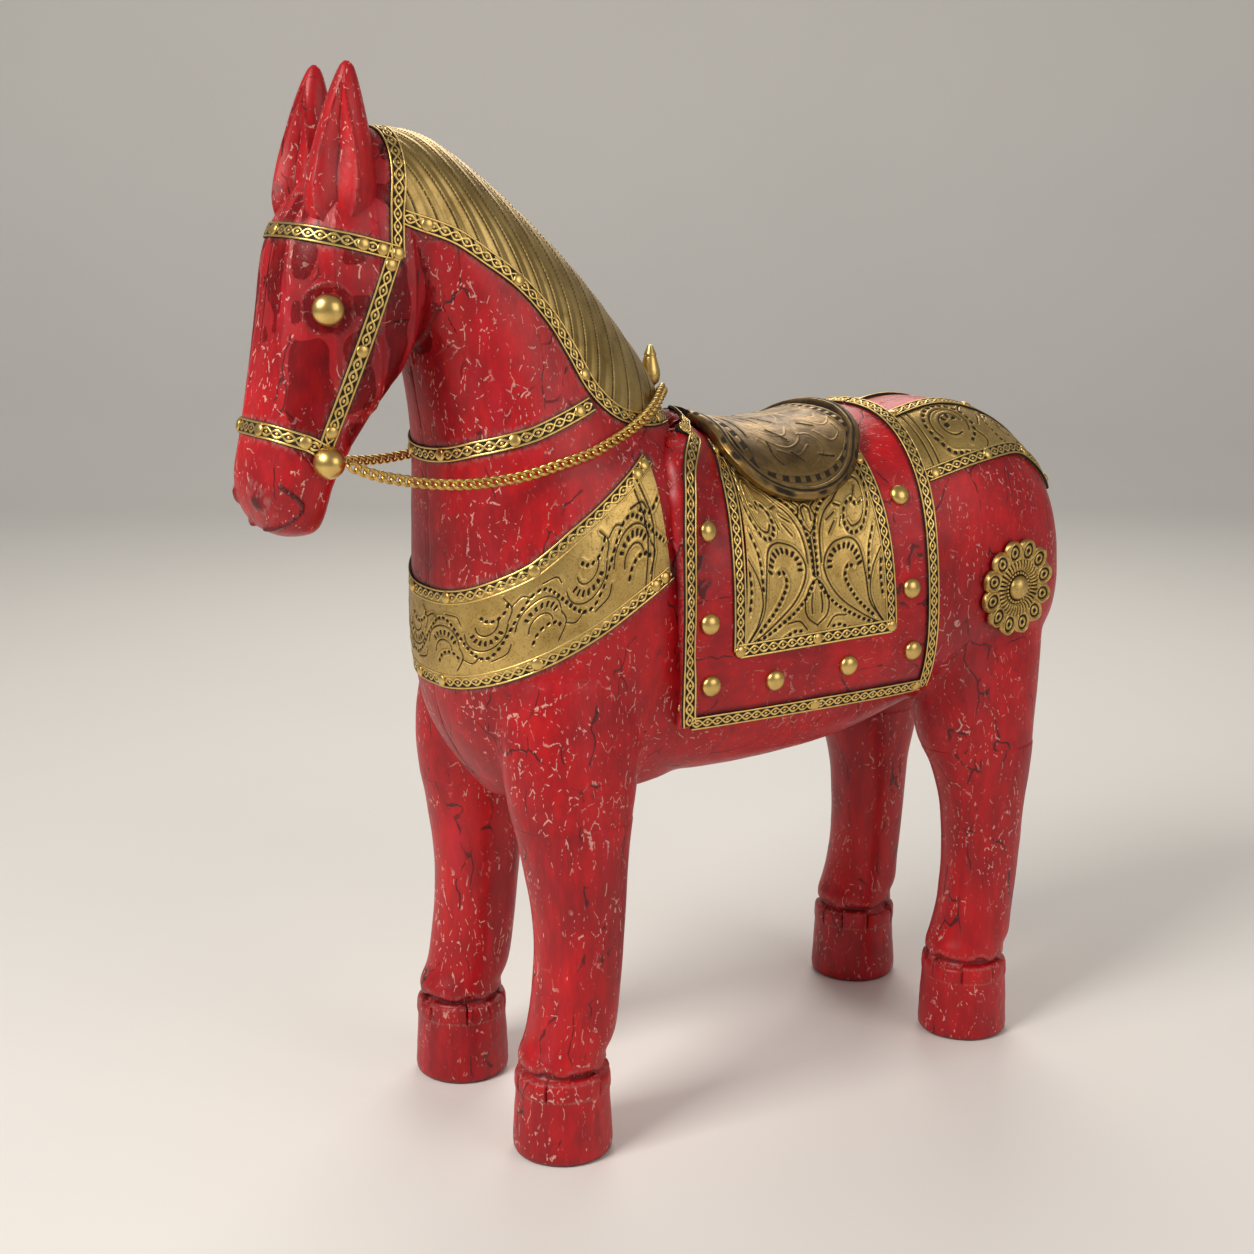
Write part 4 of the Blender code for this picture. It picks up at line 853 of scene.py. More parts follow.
FRONT_LINES = {"brow_band": over_front(BROW), "nose_band": over_front(NOSE),
               "neck_band": over_front(NECK_BAND), "breast_border_upper": over_front(BREAST_TOP),
               "breast_border_lower": over_front(BREAST_LOW), "crown_strap": crown_line()}
for strap, strap_line in FRONT_LINES.items():
    add_piece(f"{strap}_embossed", strip_mesh(strap_line), strip_brass, [strap])
cheek_line, mane_line = side_line(CHEEK), side_line(MANE_EDGE)
add_pair("cheek_strap_embossed", strip_mesh(cheek_line), strip_brass, ["cheek_strap"])
add_pair("mane_border_embossed", strip_mesh(mane_line), strip_brass, ["mane_border"])

# %% [markdown]
# ## Which way is out
# A grid whose faces point inwards can look right and still fail in a physics engine, so the
# volume each closed mesh encloses is added up. A whole mesh turned inside out gives a volume
# below zero. The sum can miss a piece in which only a cap or a fan is turned the wrong way.

# %% Volumes
def enclosed(mesh):
    """Volume as the sum over triangles of a . (b x c) / 6."""
    mesh.calc_loop_triangles()
    corners = np.empty(len(mesh.loop_triangles) * 3, np.int32)
    mesh.loop_triangles.foreach_get("vertices", corners)
    a, b, c = points_of(mesh)[corners].reshape(-1, 3, 3).transpose(1, 0, 2)
    return float((a * np.cross(b, c)).sum() / 6)


# %% [markdown]
# ## Timber pieces
# On the real horse the body is two blocks glued along the middle, with the head, ears and legs
# set on. Here the one skin is cut at the same joins, so every piece meets its neighbour exactly.
# The head gets a finer skin of its own, because its mouth, nostrils and eye rings are small.
# Carving is then a matter of moving points along the way out: a formula of their place.

# %% Carving helpers
def ripple(points, seed, scale):
    """A gentle carved unevenness: the mean of five sine waves in turned directions."""
    rng = np.random.default_rng(seed)
    ways = unit(rng.normal(size=(5, 3)))
    phases = rng.uniform(0, 6.28, 5)
    waves = np.sin(points @ ways.T * (2 * np.pi / scale) + phases)
    return waves.mean(1)


METAL_LINES = [even_line(line, 0.003)[0] for line in
               [*FRONT_LINES.values(), cheek_line, mane_line]]
METAL_LINES += [line * [-1, 1, 1] for line in METAL_LINES[-2:]]


def metal_gap(points):
    """Distance of points to the nearest brass strip."""
    gap = np.full(len(points), 1.0)
    for line in METAL_LINES:
        near = np.where(np.linalg.norm(points - line.mean(0), axis=1)
                        < np.linalg.norm(line - line.mean(0), axis=1).max() + 0.02)[0]
        for group in np.array_split(near, max(1, len(near) // 20000)):
            if len(group):
                gap[group] = np.minimum(gap[group], line_gap(points[group], line)[0])
    return gap


def wear_and_painted_shade(mesh, seed, extra_shade=None, extra_worn=None):
    """Marks for the paint: rubbed bands beside the brass strips, and painted shade in a thin band right
    beside their edges.
    """
    points = points_of(mesh)
    gap = metal_gap(points)
    brush = 0.5 + 0.5 * ripple(points, seed, 0.004)
    worn = np.clip(1.05 - (gap - STRIP_WIDTH / 2) / (0.0010 + 0.0038 * brush), 0, 1)
    # painted shade: a dark band within about a millimetre of each strip's edge
    shade = np.clip(1.0 - (gap - STRIP_WIDTH / 2) / 0.0011, 0, 1) * 0.7
    if extra_shade is not None:
        shade = np.maximum(shade, extra_shade)
    if extra_worn is not None:
        worn = np.maximum(worn, extra_worn)
    mark(mesh, "worn", worn)
    mark(mesh, "shade", shade)
    return mesh


# %% Body halves
def head_outline():
    """The cut round the head, seen from the side."""
    return [(-0.0700, 0.640), (-0.0700, 0.520), (-0.0440, 0.462), (-0.0560, 0.444), (-0.0640, 0.436),
            (-0.0800, 0.300), (-0.300, 0.300), (-0.300, 0.640)]


BIG = 1.0
body_mesh = cut(skin_mesh, box_mesh((-BIG, -BIG, LEG_CUT_Z), (BIG, BIG, BIG)), "INTERSECT")
body_mesh = cut(body_mesh, prism_mesh(head_outline()), "DIFFERENCE")
half = cut(body_mesh, box_mesh((0, -BIG, -BIG), (BIG, BIG, BIG)), "INTERSECT")


def carve_body(mesh):
    """Chisel waves all over, and a seam along the middle, dark at the chest."""
    points, ways = points_of(mesh), normals_of(mesh)
    flat = (points[:, 0] < 0.0003) | (abs(points[:, 2] - LEG_CUT_Z) < 0.0004)
    depth = 0.00045 * ripple(points, 3, 0.075) + 0.00022 * ripple(points, 4, 0.022)
    seam = np.clip(1 - points[:, 0] / 0.0030, 0, 1)
    depth -= 0.0006 * seam ** 2
    points = points + np.where(flat, 0, depth)[:, None] * ways
    points[:, 0] = np.maximum(points[:, 0], 0)
    move_points(mesh, points)
    front = points[:, 1] - FEET_Y < 0.03
    return wear_and_painted_shade(mesh, 11, np.where(front, np.clip(1 - points[:, 0] / 0.00115, 0, 1) * 0.9, 0))


half = carve_body(half)
add_pair("carved_body", half, body_paint, ["body"])

# %% [markdown]
# ## Head
# The face is a long box with a blunt muzzle. The carver left flat facets down its length, a slit
# for the mouth, two drop-shaped nostrils and a ring round each eye. All are heights worked out
# from the place on the head.

# %% Head
EYE = left_side([(-0.1172, 0.4776)])[0]
NOSTRIL = left_side([(-0.1506, 0.3804)])[0]
MOUTH = side_line([(-0.1430, 0.3892), (-0.1329, 0.3791), (-0.1382, 0.3700), (-0.1460, 0.3640)], 40)


def slit(gap, half_width, depth):
    """A rounded groove."""
    return -depth * np.exp(-(gap / half_width) ** 2)


def carve_head(mesh):
    points, ways = points_of(mesh), normals_of(mesh)
    side = np.abs(points * [1, 0, 0]) + points * [0, 1, 1]
    local = points - [0, FEET_Y, 0]
    cut_face = (abs(ways[:, 0]) < 0.02) & (ways[:, 1] > 0.2) & (local[:, 1] > -0.085)
    turn = np.arctan2(local[:, 0], -(local[:, 1] + 0.085))
    facets = np.abs(np.mod(turn / 0.52 + 0.25, 1) - 0.5) * 2
    long_face = soft(local[:, 2], 0.385, 0.41) * (1 - soft(local[:, 2], 0.515, 0.54))
    depth = -0.0009 * facets ** 6 * long_face
    depth += 0.00035 * ripple(points, 5, 0.06) + 0.00018 * ripple(points, 6, 0.018)
    eye_gap = np.linalg.norm(side - EYE, axis=1)
    depth += 0.0011 * np.exp(-((eye_gap - 0.0100) / 0.0016) ** 2)
    depth += slit(eye_gap - 0.0127, 0.0007, 0.0008)
    mouth_gap = line_gap(side, MOUTH)[0]
    depth += slit(mouth_gap, 0.0011, 0.0020)
    drop = side - NOSTRIL
    nostril = np.sqrt((drop[:, 1] / 0.0030) ** 2 + (drop[:, 2] / 0.0044) ** 2 + (drop[:, 0] / 0.0042) ** 2)
    depth -= 0.0019 * np.exp(-nostril ** 4)
    move_points(mesh, points + np.where(cut_face, 0, depth)[:, None] * ways)
    # painted shade: dark in the mouth slit, in the nostrils, in the groove round each eye and under the rim
    # of the brass eye
    shade = np.clip(1.4 - mouth_gap / 0.0013, 0, 1)
    shade = np.maximum(shade, np.clip(1.4 - nostril, 0, 1) * 0.95)
    shade = np.maximum(shade, 0.75 * np.exp(-((eye_gap - 0.0127) / 0.0006) ** 2))
    shade = np.maximum(shade, 0.75 * np.clip(1 - np.abs(eye_gap - 0.0084) / 0.0008, 0, 1))
    chips = np.clip(1.2 - np.abs(nostril - 1.7) * 1.2 - 1.6 * ripple(points, 9, 0.006), 0, 1)
    return wear_and_painted_shade(mesh, 12, shade, chips * 0.7)


head_mesh = grown([neck_form(), head_form()], HEAD_VOXEL, 18)
head_mesh = cut(head_mesh, prism_mesh(head_outline()), "INTERSECT")
add_piece("carved_head", carve_head(head_mesh), body_paint, ["head"])

# %% [markdown]
# ## Ears
# Tall leaf-shaped ears, each hollowed on its front by two knife cuts that meet in a line. A grid
# of rings round an upright axis gives the leaf. The hollow moves the front points back towards
# the axis by an amount that falls to nothing at a leaf-shaped outline.

# %% Ears
EAR_X = 0.0205
EAR_RINGS = [(0.498, -0.1010, 0.0130, 0.0090), (0.517, -0.1015, 0.0165, 0.0115),
             (0.532, -0.1015, 0.0195, 0.0155), (0.552, -0.1005, 0.0165, 0.0140),
             (0.572, -0.0990, 0.0118, 0.0108), (0.588, -0.0975, 0.0072, 0.0070),
             (0.597, -0.0965, 0.0038, 0.0036), (0.600, -0.0962, 0.0012, 0.0012)]


def ear_mesh(side, facing, rows=150, sides=132):
    """Rings (z, middle y, half depth, half width) as superellipses. The hollow faces a way in
    plan and is a valley: at a share s of its half width the depth goes as 1 - s."""
    rings = smooth_line(EAR_RINGS, rows)
    z, y, depth, width = (rings[:, i, None] for i in range(4))
    a = np.linspace(0, 2 * np.pi, sides, endpoint=False)[None]
    x = np.sign(np.sin(a)) * abs(np.sin(a)) ** (2 / 2.2) * width
    back = -np.sign(np.cos(a)) * abs(np.cos(a)) ** (2 / 2.2) * depth
    fx, fy = math.sin(facing), -math.cos(facing)
    beside, ahead = x * -fy + back * fx, x * fx + back * fy
    leaf = np.clip((z - 0.508) / 0.086, 0, 1)
    leaf = np.sin(np.pi * leaf ** 0.8) ** 0.75 * width * 0.66
    share = np.clip(1 - abs(beside) / np.maximum(leaf, 1e-5), 0, 1) * (ahead > 0)
    hollow = share * np.minimum(leaf * 0.85, 0.0068)
    ridge = (0.0009 * np.exp(-((abs(beside) / np.maximum(leaf, 1e-5) - 1.08) / 0.10) ** 2)
             * (ahead > 0) * (leaf > 0.001))
    push = ridge - hollow
    points = np.stack([side * EAR_X + x + fx * push, y + back + fy * push + FEET_Y,
                       np.broadcast_to(z, x.shape)], -1).reshape(-1, 3)
    ends = np.stack([points[:sides].mean(0), points[-sides:].mean(0)])
    fan = np.arange(sides)
    low = np.stack([np.full(sides, rows * sides), (fan + 1) % sides, fan], 1)
    high = np.stack([np.full(sides, rows * sides + 1), (rows - 1) * sides + fan,
                     (rows - 1) * sides + (fan + 1) % sides], 1)
    mesh = mesh_of("ear", np.concatenate([points, ends]), [quads(rows, sides, False, True), low, high], 32)
    flat = points_of(mesh)
    move_points(mesh, flat + 0.0002 * ripple(flat, 8, 0.02)[:, None] * normals_of(mesh))
    # painted shade deep in the hollow of the ear
    painted_hollow_shade = np.append((np.clip(share - 0.88, 0, 1) * 7).ravel(), [0, 0])
    mark(mesh, "worn", np.append((ridge / 0.0009 * 0.35).ravel(), [0, 0]))
    mark(mesh, "shade", np.clip(painted_hollow_shade, 0, 0.8))
    if enclosed(mesh) < 0:
        mesh.flip_normals()
    return mesh


add_piece("carved_ear_left", ear_mesh(1, 0.95), body_paint, ["ear_left"])
add_piece("carved_ear_right", ear_mesh(-1, 0.45), body_paint, ["ear_right"])

# %% [markdown]
# ## Legs and hooves
# The legs are plain rounded posts, and the hooves are turned blocks below a groove. The collar
# is cut into short staves. A hoof is a grid: a profile of radius over height, turned about an
# upright axis, with the staves as a wave in the angle.

# %% Hooves
HOOF_PROFILE = [(0.0, 0.0), (0.60, 0.0), (0.93, 0.0002), (0.985, 0.0022), (1.0, 0.006), (0.985, 0.015),
                (0.965, 0.026), (0.945, 0.0345), (0.944, 0.0385), (0.955, 0.0395), (0.962, 0.0425),
                (0.955, 0.0470), (0.925, 0.0492), (0.830, 0.0503), (0.780, 0.0510), (0.775, 0.0530),
                (0.790, 0.0545), (0.60, 0.0550), (0.0, 0.0550)]


def hoof_mesh(middle_x, foot_y, seed, sides=180):
    """A profile (radius as a share of HOOF_RADIUS, height) turned about an upright axis."""
    profile = even_line(np.array([(r * HOOF_RADIUS, z) for r, z in HOOF_PROFILE]), 0.0008)[0]
    inner = profile[1:-1]
    a = np.linspace(0, 2 * np.pi, sides, endpoint=False)[None]
    radius, z = inner[:, :1] + 0 * a, inner[:, 1:] + 0 * a
    wide = radius > 0.55 * HOOF_RADIUS
    staves = 9
    place = a / (2 * np.pi) * staves + 0.15 * np.sin(3 * a + seed) + seed * 0.37
    edge = np.abs(np.mod(place, 1) - 0.5) * 2
    notch = np.exp(-((1 - edge) / 0.055) ** 2)
    collar = soft(z, 0.0370, 0.0400) * (1 - soft(z, 0.0500, 0.0512))
    jog = 0.0016 * np.sin(np.floor(place) * 2.4 + seed)
    radius = radius - wide * (0.0016 * notch * collar)
    z = z + wide * collar * jog * soft(z, 0.0380, 0.0410)
    ring = np.stack([middle_x + radius * np.sin(a), foot_y + FEET_Y - radius * np.cos(a), z], -1)
    rows = len(inner)
    points = np.concatenate([ring.reshape(-1, 3), [[middle_x, foot_y + FEET_Y, 0.0],
                                                   [middle_x, foot_y + FEET_Y, 0.0550]]])
    ways = np.concatenate([np.stack([np.sin(a) + 0 * z, -np.cos(a) + 0 * z, 0 * z], -1).reshape(-1, 3),
                           np.zeros((2, 3))])
    points = points + ways * (np.append(wide.ravel(), [0, 0])
                              * (0.0004 * ripple(points, seed, 0.03)
                                 + 0.00015 * ripple(points, seed + 1, 0.008)))[:, None]
    fan = np.arange(sides)
    low = np.stack([np.full(sides, rows * sides), fan, (fan + 1) % sides], 1)
    high = np.stack([np.full(sides, rows * sides + 1), (rows - 1) * sides + (fan + 1) % sides,
                     (rows - 1) * sides + fan], 1)
    mesh = mesh_of("hoof", points, [quads(rows, sides, False, True)[:, ::-1], low, high], 45)
    # painted shade: dark at the foot where the hoof meets the floor, in the groove under the leg and in the
    # notches between the staves
    ground = np.append(np.clip(1 - z.ravel() / 0.0030, 0, 1) * 0.8, [1, 1])
    groove = np.append((np.exp(-((z - 0.0520) / 0.0013) ** 2) * 0.75).ravel(), [0, 0])
    cuts = np.append((notch * collar * 0.6).ravel(), [0, 0])
    lips = np.exp(-((z - 0.0386) / 0.0005) ** 2) + np.exp(-((z - 0.0488) / 0.0006) ** 2)
    mark(mesh, "shade", np.maximum(np.maximum(ground, groove), cuts))
    mark(mesh, "worn", np.append((lips * wide * 0.9).ravel(), [0, 0]))
    return mesh


def add_leg(name, node, form, middle_x, foot_y, seed):
    """A leg cut from its own fine skin, and its hoof."""
    mesh = grown([form], 0.0015, 8)
    mesh = cut(mesh, box_mesh((-BIG, -BIG, -BIG), (BIG, BIG, LEG_CUT_Z)), "INTERSECT")
    points, ways = points_of(mesh), normals_of(mesh)
    z = points[:, 2]
    flat = (z > LEG_CUT_Z - 0.0004)
    depth = 0.0005 * ripple(points, seed, 0.07) + 0.0002 * ripple(points, seed + 1, 0.020)
    angle = np.arctan2(points[:, 0] - middle_x, points[:, 1] - foot_y - FEET_Y)
    scallop = 0.0009 * np.sin(7 * angle + seed) + 0.0005 * np.sin(11 * angle)
    lip = np.clip(1 - (z - 0.0540) / 0.004, 0, 1)
    move_points(mesh, points + np.where(flat, 0, depth)[:, None] * ways
                + (lip * scallop)[:, None] * np.array([0, 0, 1.0]))
    mark(mesh, "worn", np.exp(-((z - 0.0565 - scallop) / 0.0007) ** 2) * 0.8)
    # painted shade: dark at the bottom of the post, where it goes down into the hoof
    mark(mesh, "shade", np.clip(1 - (z - 0.0535 - scallop) / 0.0012, 0, 1) * 0.8)
    add_piece(f"{name}_post", mesh, leg_paint, [node])
    add_piece(f"{name}_hoof", hoof_mesh(middle_x, foot_y, seed), leg_paint, [node])


for side_name, side in (("left", 1), ("right", -1)):
    add_leg(f"carved_front_{side_name}", f"front_leg_{side_name}", front_leg(side), side * FRONT_LEG_X,
            0.0, 21 + side)
    add_leg(f"carved_hind_{side_name}", f"hind_leg_{side_name}", hind_leg(side), side * HIND_LEG_X,
            HIND_FOOT_Y, 31 + side)

# %% [markdown]
# ## Tail
# The tail is a short carved lock behind the rump. It can't be seen from the front quarter, so it
# is kept plain, with cut hair lines along it.

# %% Tail
TAIL_ROUTE = [(barrel(0.950), 0.376), (barrel(0.986), 0.350), (barrel(1.012), 0.315), (barrel(1.020), 0.270),
              (barrel(1.002), 0.225), (barrel(0.975), 0.185)]


def tail_mesh(rows=160, sides=96):
    """Ellipses set across a curve in the side view, with a wave in their radius for the hair."""
    line = smooth_line(np.column_stack([TAIL_ROUTE, [0.007, 0.011, 0.013, 0.013, 0.011, 0.005]]), rows)
    ahead = unit(np.gradient(line[:, :2], axis=0))
    across = np.stack([-ahead[:, 1], ahead[:, 0]], 1)
    a = np.linspace(0, 2 * np.pi, sides, endpoint=False)[None]
    s = np.linspace(0, 1, rows)[:, None]
    hair = 1 - 0.10 * abs(np.sin(8 * a + 2.0 * s)) ** 6 * np.sin(np.pi * np.clip(s * 1.1, 0, 1))
    x = line[:, 2:3] * np.sin(a) * hair
    deep = line[:, 2:3] * 0.62 * np.cos(a) * hair
    points = np.stack([x, line[:, :1] + deep * across[:, :1] + FEET_Y,
                       line[:, 1:2] + deep * across[:, 1:]], -1)
    points = points.reshape(-1, 3)
    ends = np.stack([points[:sides].mean(0), points[-sides:].mean(0)])
    fan = np.arange(sides)
    low = np.stack([np.full(sides, rows * sides), (fan + 1) % sides, fan], 1)
    high = np.stack([np.full(sides, rows * sides + 1), (rows - 1) * sides + fan,
                     (rows - 1) * sides + (fan + 1) % sides], 1)
    mesh = mesh_of("tail", np.concatenate([points, ends]), [quads(rows, sides, False, True), low, high], 60)
    # painted shade in the cut hair lines
    mark(mesh, "shade", np.append(((1 - hair) * 6).ravel(), [0, 0]))
    mark(mesh, "worn", np.zeros(len(mesh.vertices)))
    return mesh


add_piece("carved_tail", tail_mesh(), leg_paint, ["tail"])

# %% [markdown]
# ## Saddle cloth
# The cloth is two carved boards that follow the barrel. A board is a grid wrapped round the body:
# along it from its front edge to its rear edge, and up over the back to the middle. Edges are
# eased with a plane on the real one, so the height falls away at them along a quarter circle.

# %% Cloth boards
CLOTH_FRONT = [(0.240, 0.033), (0.300, 0.030), (0.365, 0.031), (0.388, 0.037), (0.397, 0.052),
               (0.403, 0.078), (0.408, 0.115), (0.414, 0.150), (0.450, 0.175)]
CLOTH_REAR = [(0.240, 0.575), (0.330, 0.570), (0.390, 0.575), (0.450, 0.580)]


def over_back(low_z, y_at, rows, cols, lift, top_z=0.405):
    """A grid from a low edge up over the back to the middle, as skin points. Its columns keep the
    side-view places y_at(share, lifted z). The first guess is a quarter ellipse."""
    share = np.linspace(0, 1, rows)[:, None]
    a = np.linspace(0, np.pi / 2, cols)[None]
    low_z = np.broadcast_to(low_z, (rows, 1)) if np.ndim(low_z) == 0 else low_z
    z = low_z + (top_z - low_z) * np.sin(a) ** 1.15
    x = 0.082 * np.cos(a) + 0 * share
    y = y_at(share, z) + FEET_Y
    grid = nearest(np.stack([x, y, z], -1))
    for _ in range(4):
        ways = grid_ways(grid)[0]
        lifted = grid + ways * lift
        grid[..., 1] += y_at(share, lifted[..., 2]) + FEET_Y - lifted[..., 1]
        grid[:, 0, 2] += (low_z[:, 0] - lifted[:, 0, 2])
        grid[:, -1, 0] = 0.0
        grid = nearest(grid)
        grid = np.where((np.arange(cols) == cols - 1)[None, :, None] * (np.arange(3) == 0), 0.00012, grid)
    gaps = np.linalg.norm(np.diff(grid, axis=1), axis=2)
    reach = np.concatenate([np.zeros((rows, 1)), np.cumsum(gaps, 1)], 1)
    even = np.linspace(0, 1, cols)
    return np.stack([np.stack([np.interp(even * r[-1], r, g[:, k]) for k in range(3)], 1)
                     for r, g in zip(reach, grid)])


def cloth_y(share, z):
    front = np.interp(z, *np.transpose(CLOTH_FRONT))
    rear = np.interp(z, *np.transpose(CLOTH_REAR))
    return barrel(front + share * (rear - front))


def edge_distances(grid):
    """Distance of grid points from the first and last row, and from the first column."""
    along = np.linalg.norm(np.diff(grid, axis=0), axis=2)
    along = np.concatenate([np.zeros((1, grid.shape[1])), np.cumsum(along, 0)])
    up = np.linalg.norm(np.diff(grid, axis=1), axis=2)
    up = np.concatenate([np.zeros((grid.shape[0], 1)), np.cumsum(up, 1)], 1)
    return along, along[-1:] - along, up


def rounded(distance, radius):
    """How far a rounded edge lies below its top, at a distance from the edge."""
    t = np.clip(1 - distance / radius, 0, 1)
    return radius * (1 - np.sqrt(np.clip(1 - t ** 2, 0, 1)))


def board(grid, height, foot=0.0003):
    """A closed board on the skin with a full underside."""
    ways, upright = grid_ways(grid)
    rows, cols = grid.shape[:2]
    top, under = grid + ways * height[..., None], grid + ways * foot
    n = rows * cols
    number = np.arange(n).reshape(rows, cols)
    rim = np.concatenate([number[0, :], number[1:, -1], number[-1, -2::-1], number[-2:0:-1, 0]])
    following = np.roll(rim, -1)
    parts = [quads(rows, cols), quads(rows, cols)[:, ::-1] + n,
             np.stack([rim, rim + n, following + n, following], 1)]
    if not upright:
        parts = [part[:, ::-1] for part in parts]
    return mesh_of("board", np.concatenate([top.reshape(-1, 3), under.reshape(-1, 3)]), parts, 60)


cloth_grid = eased(over_back(0.240, cloth_y, 200, 200, 0.0083), (18, 18))
from_front, to_rear, from_low = edge_distances(cloth_grid)
cloth_points = cloth_grid.reshape(-1, 3)
rounding = np.maximum(np.maximum(rounded(from_front, 0.0034), rounded(to_rear, 0.0026)),
                      rounded(from_low, 0.0034))
chisel = (0.00025 * ripple(cloth_points, 41, 0.03)
          + 0.00012 * ripple(cloth_points, 42, 0.010)).reshape(rounding.shape)
cloth_mesh = board(cloth_grid, CLOTH_TOP - rounding + chisel - 0.0002)


def cloth_marks(mesh):
    """Painted shade beside the edging and on the underside, and brushed bare edges."""
    inner = np.minimum(np.minimum(from_front, to_rear), from_low)
    # painted shade: a dark band just inside the edging, and the underside darkened
    beside = np.exp(-((inner - 0.0098) / 0.0009) ** 2) * 0.8
    lower = np.zeros(beside.size) + 0.6
    mark(mesh, "shade", np.concatenate([beside.ravel(), lower]))
    bare = (np.exp(-((inner - 0.0012) / 0.0010) ** 2) * 0.9
            + np.clip(1 - abs(from_front - 0.0002) / 0.0006, 0, 1) * 0.6)
    mark(mesh, "worn", np.concatenate([np.clip(bare, 0, 1).ravel(), lower * 0]))
    return mesh


add_pair("carved_cloth", cloth_marks(cloth_mesh), cloth_paint, ["saddle_cloth"])


# %% [markdown]
# ## Edging and panels on the cloth
# Lines on the cloth lie a board's thickness above the skin. `lifted_line` takes a side-view
# route on the cloth's own surface and finds it in a few rounds: pin to the skin, go out, correct.

# %% Cloth edging
def lifted_feet(route, lift=CLOTH_TOP, rounds=4):
    """Skin points whose lifted places have the given side-view (y, z)."""
    wanted = np.array(route, float)
    asked = wanted.copy()
    for _ in range(rounds):
        feet = left_side(asked)
        lifted = feet + way_out(feet) * lift
        asked = asked + wanted - (lifted[..., 1:] - [FEET_Y, 0])
    return feet


def lifted_line(route, count=100, lift=CLOTH_TOP, straight=False):
    line = even_line(np.array(route, float), 0.004)[0] if straight else smooth_line(route, count)
    feet = lifted_feet(line, lift)
    return feet + way_out(feet) * lift


cloth_top_grid = cloth_grid + grid_ways(cloth_grid)[0] * CLOTH_TOP


def row_at(distance_map, distance):
    """The line on the cloth at a distance from its first row, last row or first column."""
    flipped = distance_map[0, 0] > distance_map[-1, 0]
    maps, grid = (distance_map[::-1], cloth_top_grid[::-1]) if flipped else (distance_map, cloth_top_grid)
    return np.stack([[np.interp(distance, maps[:, j], grid[:, j, k]) for k in range(3)]
                     for j in range(0, grid.shape[1], 3)])


front_border = row_at(from_front, BORDER_INSET)
rear_border = row_at(to_rear, BORDER_INSET)
front_border = even_line(front_border[1:], 0.0005)[0]
front_border = nearest(eased(front_border[:-16], (60,)))
low_border = np.stack([[np.interp(BORDER_INSET, from_low[i], cloth_top_grid[i, :, k]) for k in range(3)]
                       for i in range(6, len(from_low) - 6, 3)])
border_parts = [strip_mesh(line, lift=CLOTH_TOP) for line in (front_border, low_border, rear_border[1:])]


def joined(meshes):
    """Several meshes as one, with their tarnish marks kept."""
    carriers = []
    for part in meshes:
        carrier = bpy.data.objects.new("part", part)
        bpy.context.scene.collection.objects.link(carrier)
        carriers.append(carrier)
    with bpy.context.temp_override(active_object=carriers[0], selected_editable_objects=carriers,
                                   object=carriers[0], selected_objects=carriers):
        bpy.ops.object.join()
    mesh = carriers[0].data
    bpy.data.objects.remove(carriers[0], do_unlink=True)
    return mesh


add_pair("cloth_border_embossed", joined(border_parts), strip_brass, ["cloth_border"])
HALF = STRIP_WIDTH / 2
FLAP_FRONT = [(barrel(0.120) + HALF, 0.280 + HALF), (barrel(0.127) + HALF, 0.340),
              (barrel(0.145) + HALF, 0.383),
              (barrel(0.152) + HALF, 0.396)]
FLAP_REAR = [(barrel(0.473) - HALF, 0.282 + HALF), (barrel(0.467) - HALF, 0.345),
             (barrel(0.465) - HALF, 0.385)]
flap_lines = [lifted_line(FLAP_FRONT), lifted_line([FLAP_FRONT[0], FLAP_REAR[0]], 60), lifted_line(FLAP_REAR)]
add_pair("flap_frame_embossed", joined([strip_mesh(line, lift=CLOTH_TOP) for line in flap_lines]),
         strip_brass,
         ["flap_frame"])

# %% [markdown]
# ## Engraving
# The engraver works with a few tools: a graver that cuts a thin line, a punch that leaves a row
# of dark dashes, and a smaller punch for seeds. A design is a list of strokes in millimetres on
# the flat sheet, and the height of the sheet is worked out from the distance to each stroke.

# %% Strokes
def engraved(place, strokes):
    """Height in metres and tarnish at (n, m, 2) places in millimetres. A line is a narrow groove
    with a burr on both sides. A dash or seed is a hole whose depth is a smooth step of the
    distance to its middle."""
    height, tarnish = np.zeros(place.shape[:-1]), np.zeros(place.shape[:-1])
    for kind, *route in strokes:
        line = even_line(smooth_line(route, 12 * len(route)), 1.3)[0]
        low, high = line.min(0) - 3.2, line.max(0) + 3.2
        near = ((place > low) & (place < high)).all(-1)
        if not near.any():
            continue
        gap, along, _ = line_gap(place[near], line)
        if kind == "line":
            hole = np.exp(-(gap / 0.46) ** 2) * 0.9
            burr = 0.00028 * np.exp(-((gap - 1.10) / 0.42) ** 2)
        elif kind == "vein":
            hole = -0.9 * np.exp(-(gap / 0.55) ** 2)
            burr = 0.00030 * np.exp(-(gap / 0.50) ** 2) + 0 * gap
        elif kind == "dash":
            part = abs(np.mod(along / 3.9, 1) - 0.5) * 3.9
            hole = soft(1.9 - np.hypot(np.maximum(part - 0.45, 0) / 0.66, gap / 0.80), 0.35, 1.0)
            burr = 0.00026 * np.exp(-((gap - 1.75) / 0.5) ** 2)
        else:
            part = abs(np.mod(along / 3.5, 1) - 0.5) * 3.5
            hole = soft(1.9 - np.hypot(part / 0.72, np.maximum(gap - 1.0, 0) / 0.60), 0.4, 1.0)
            burr = 0 * gap
        height[near] += np.where(hole > 0, -0.00052 * hole, 0) + burr
        tarnish[near] = np.maximum(tarnish[near], hole) if kind != "vein" else tarnish[near] + hole
    return height, tarnish


def both_sides(strokes):
    """Strokes and their mirror images about the first coordinate."""
    return strokes + [(kind, *[(-x, y) for x, y in route]) for kind, *route in strokes]


def arc(kind, x, y, radius, start, end, flat=1.0):
    """A stroke along part of an ellipse, angles in degrees."""
    a = np.radians(np.linspace(start, end, 9))
    return (kind, *[(x + radius * math.cos(t), y + flat * radius * math.sin(t)) for t in a])


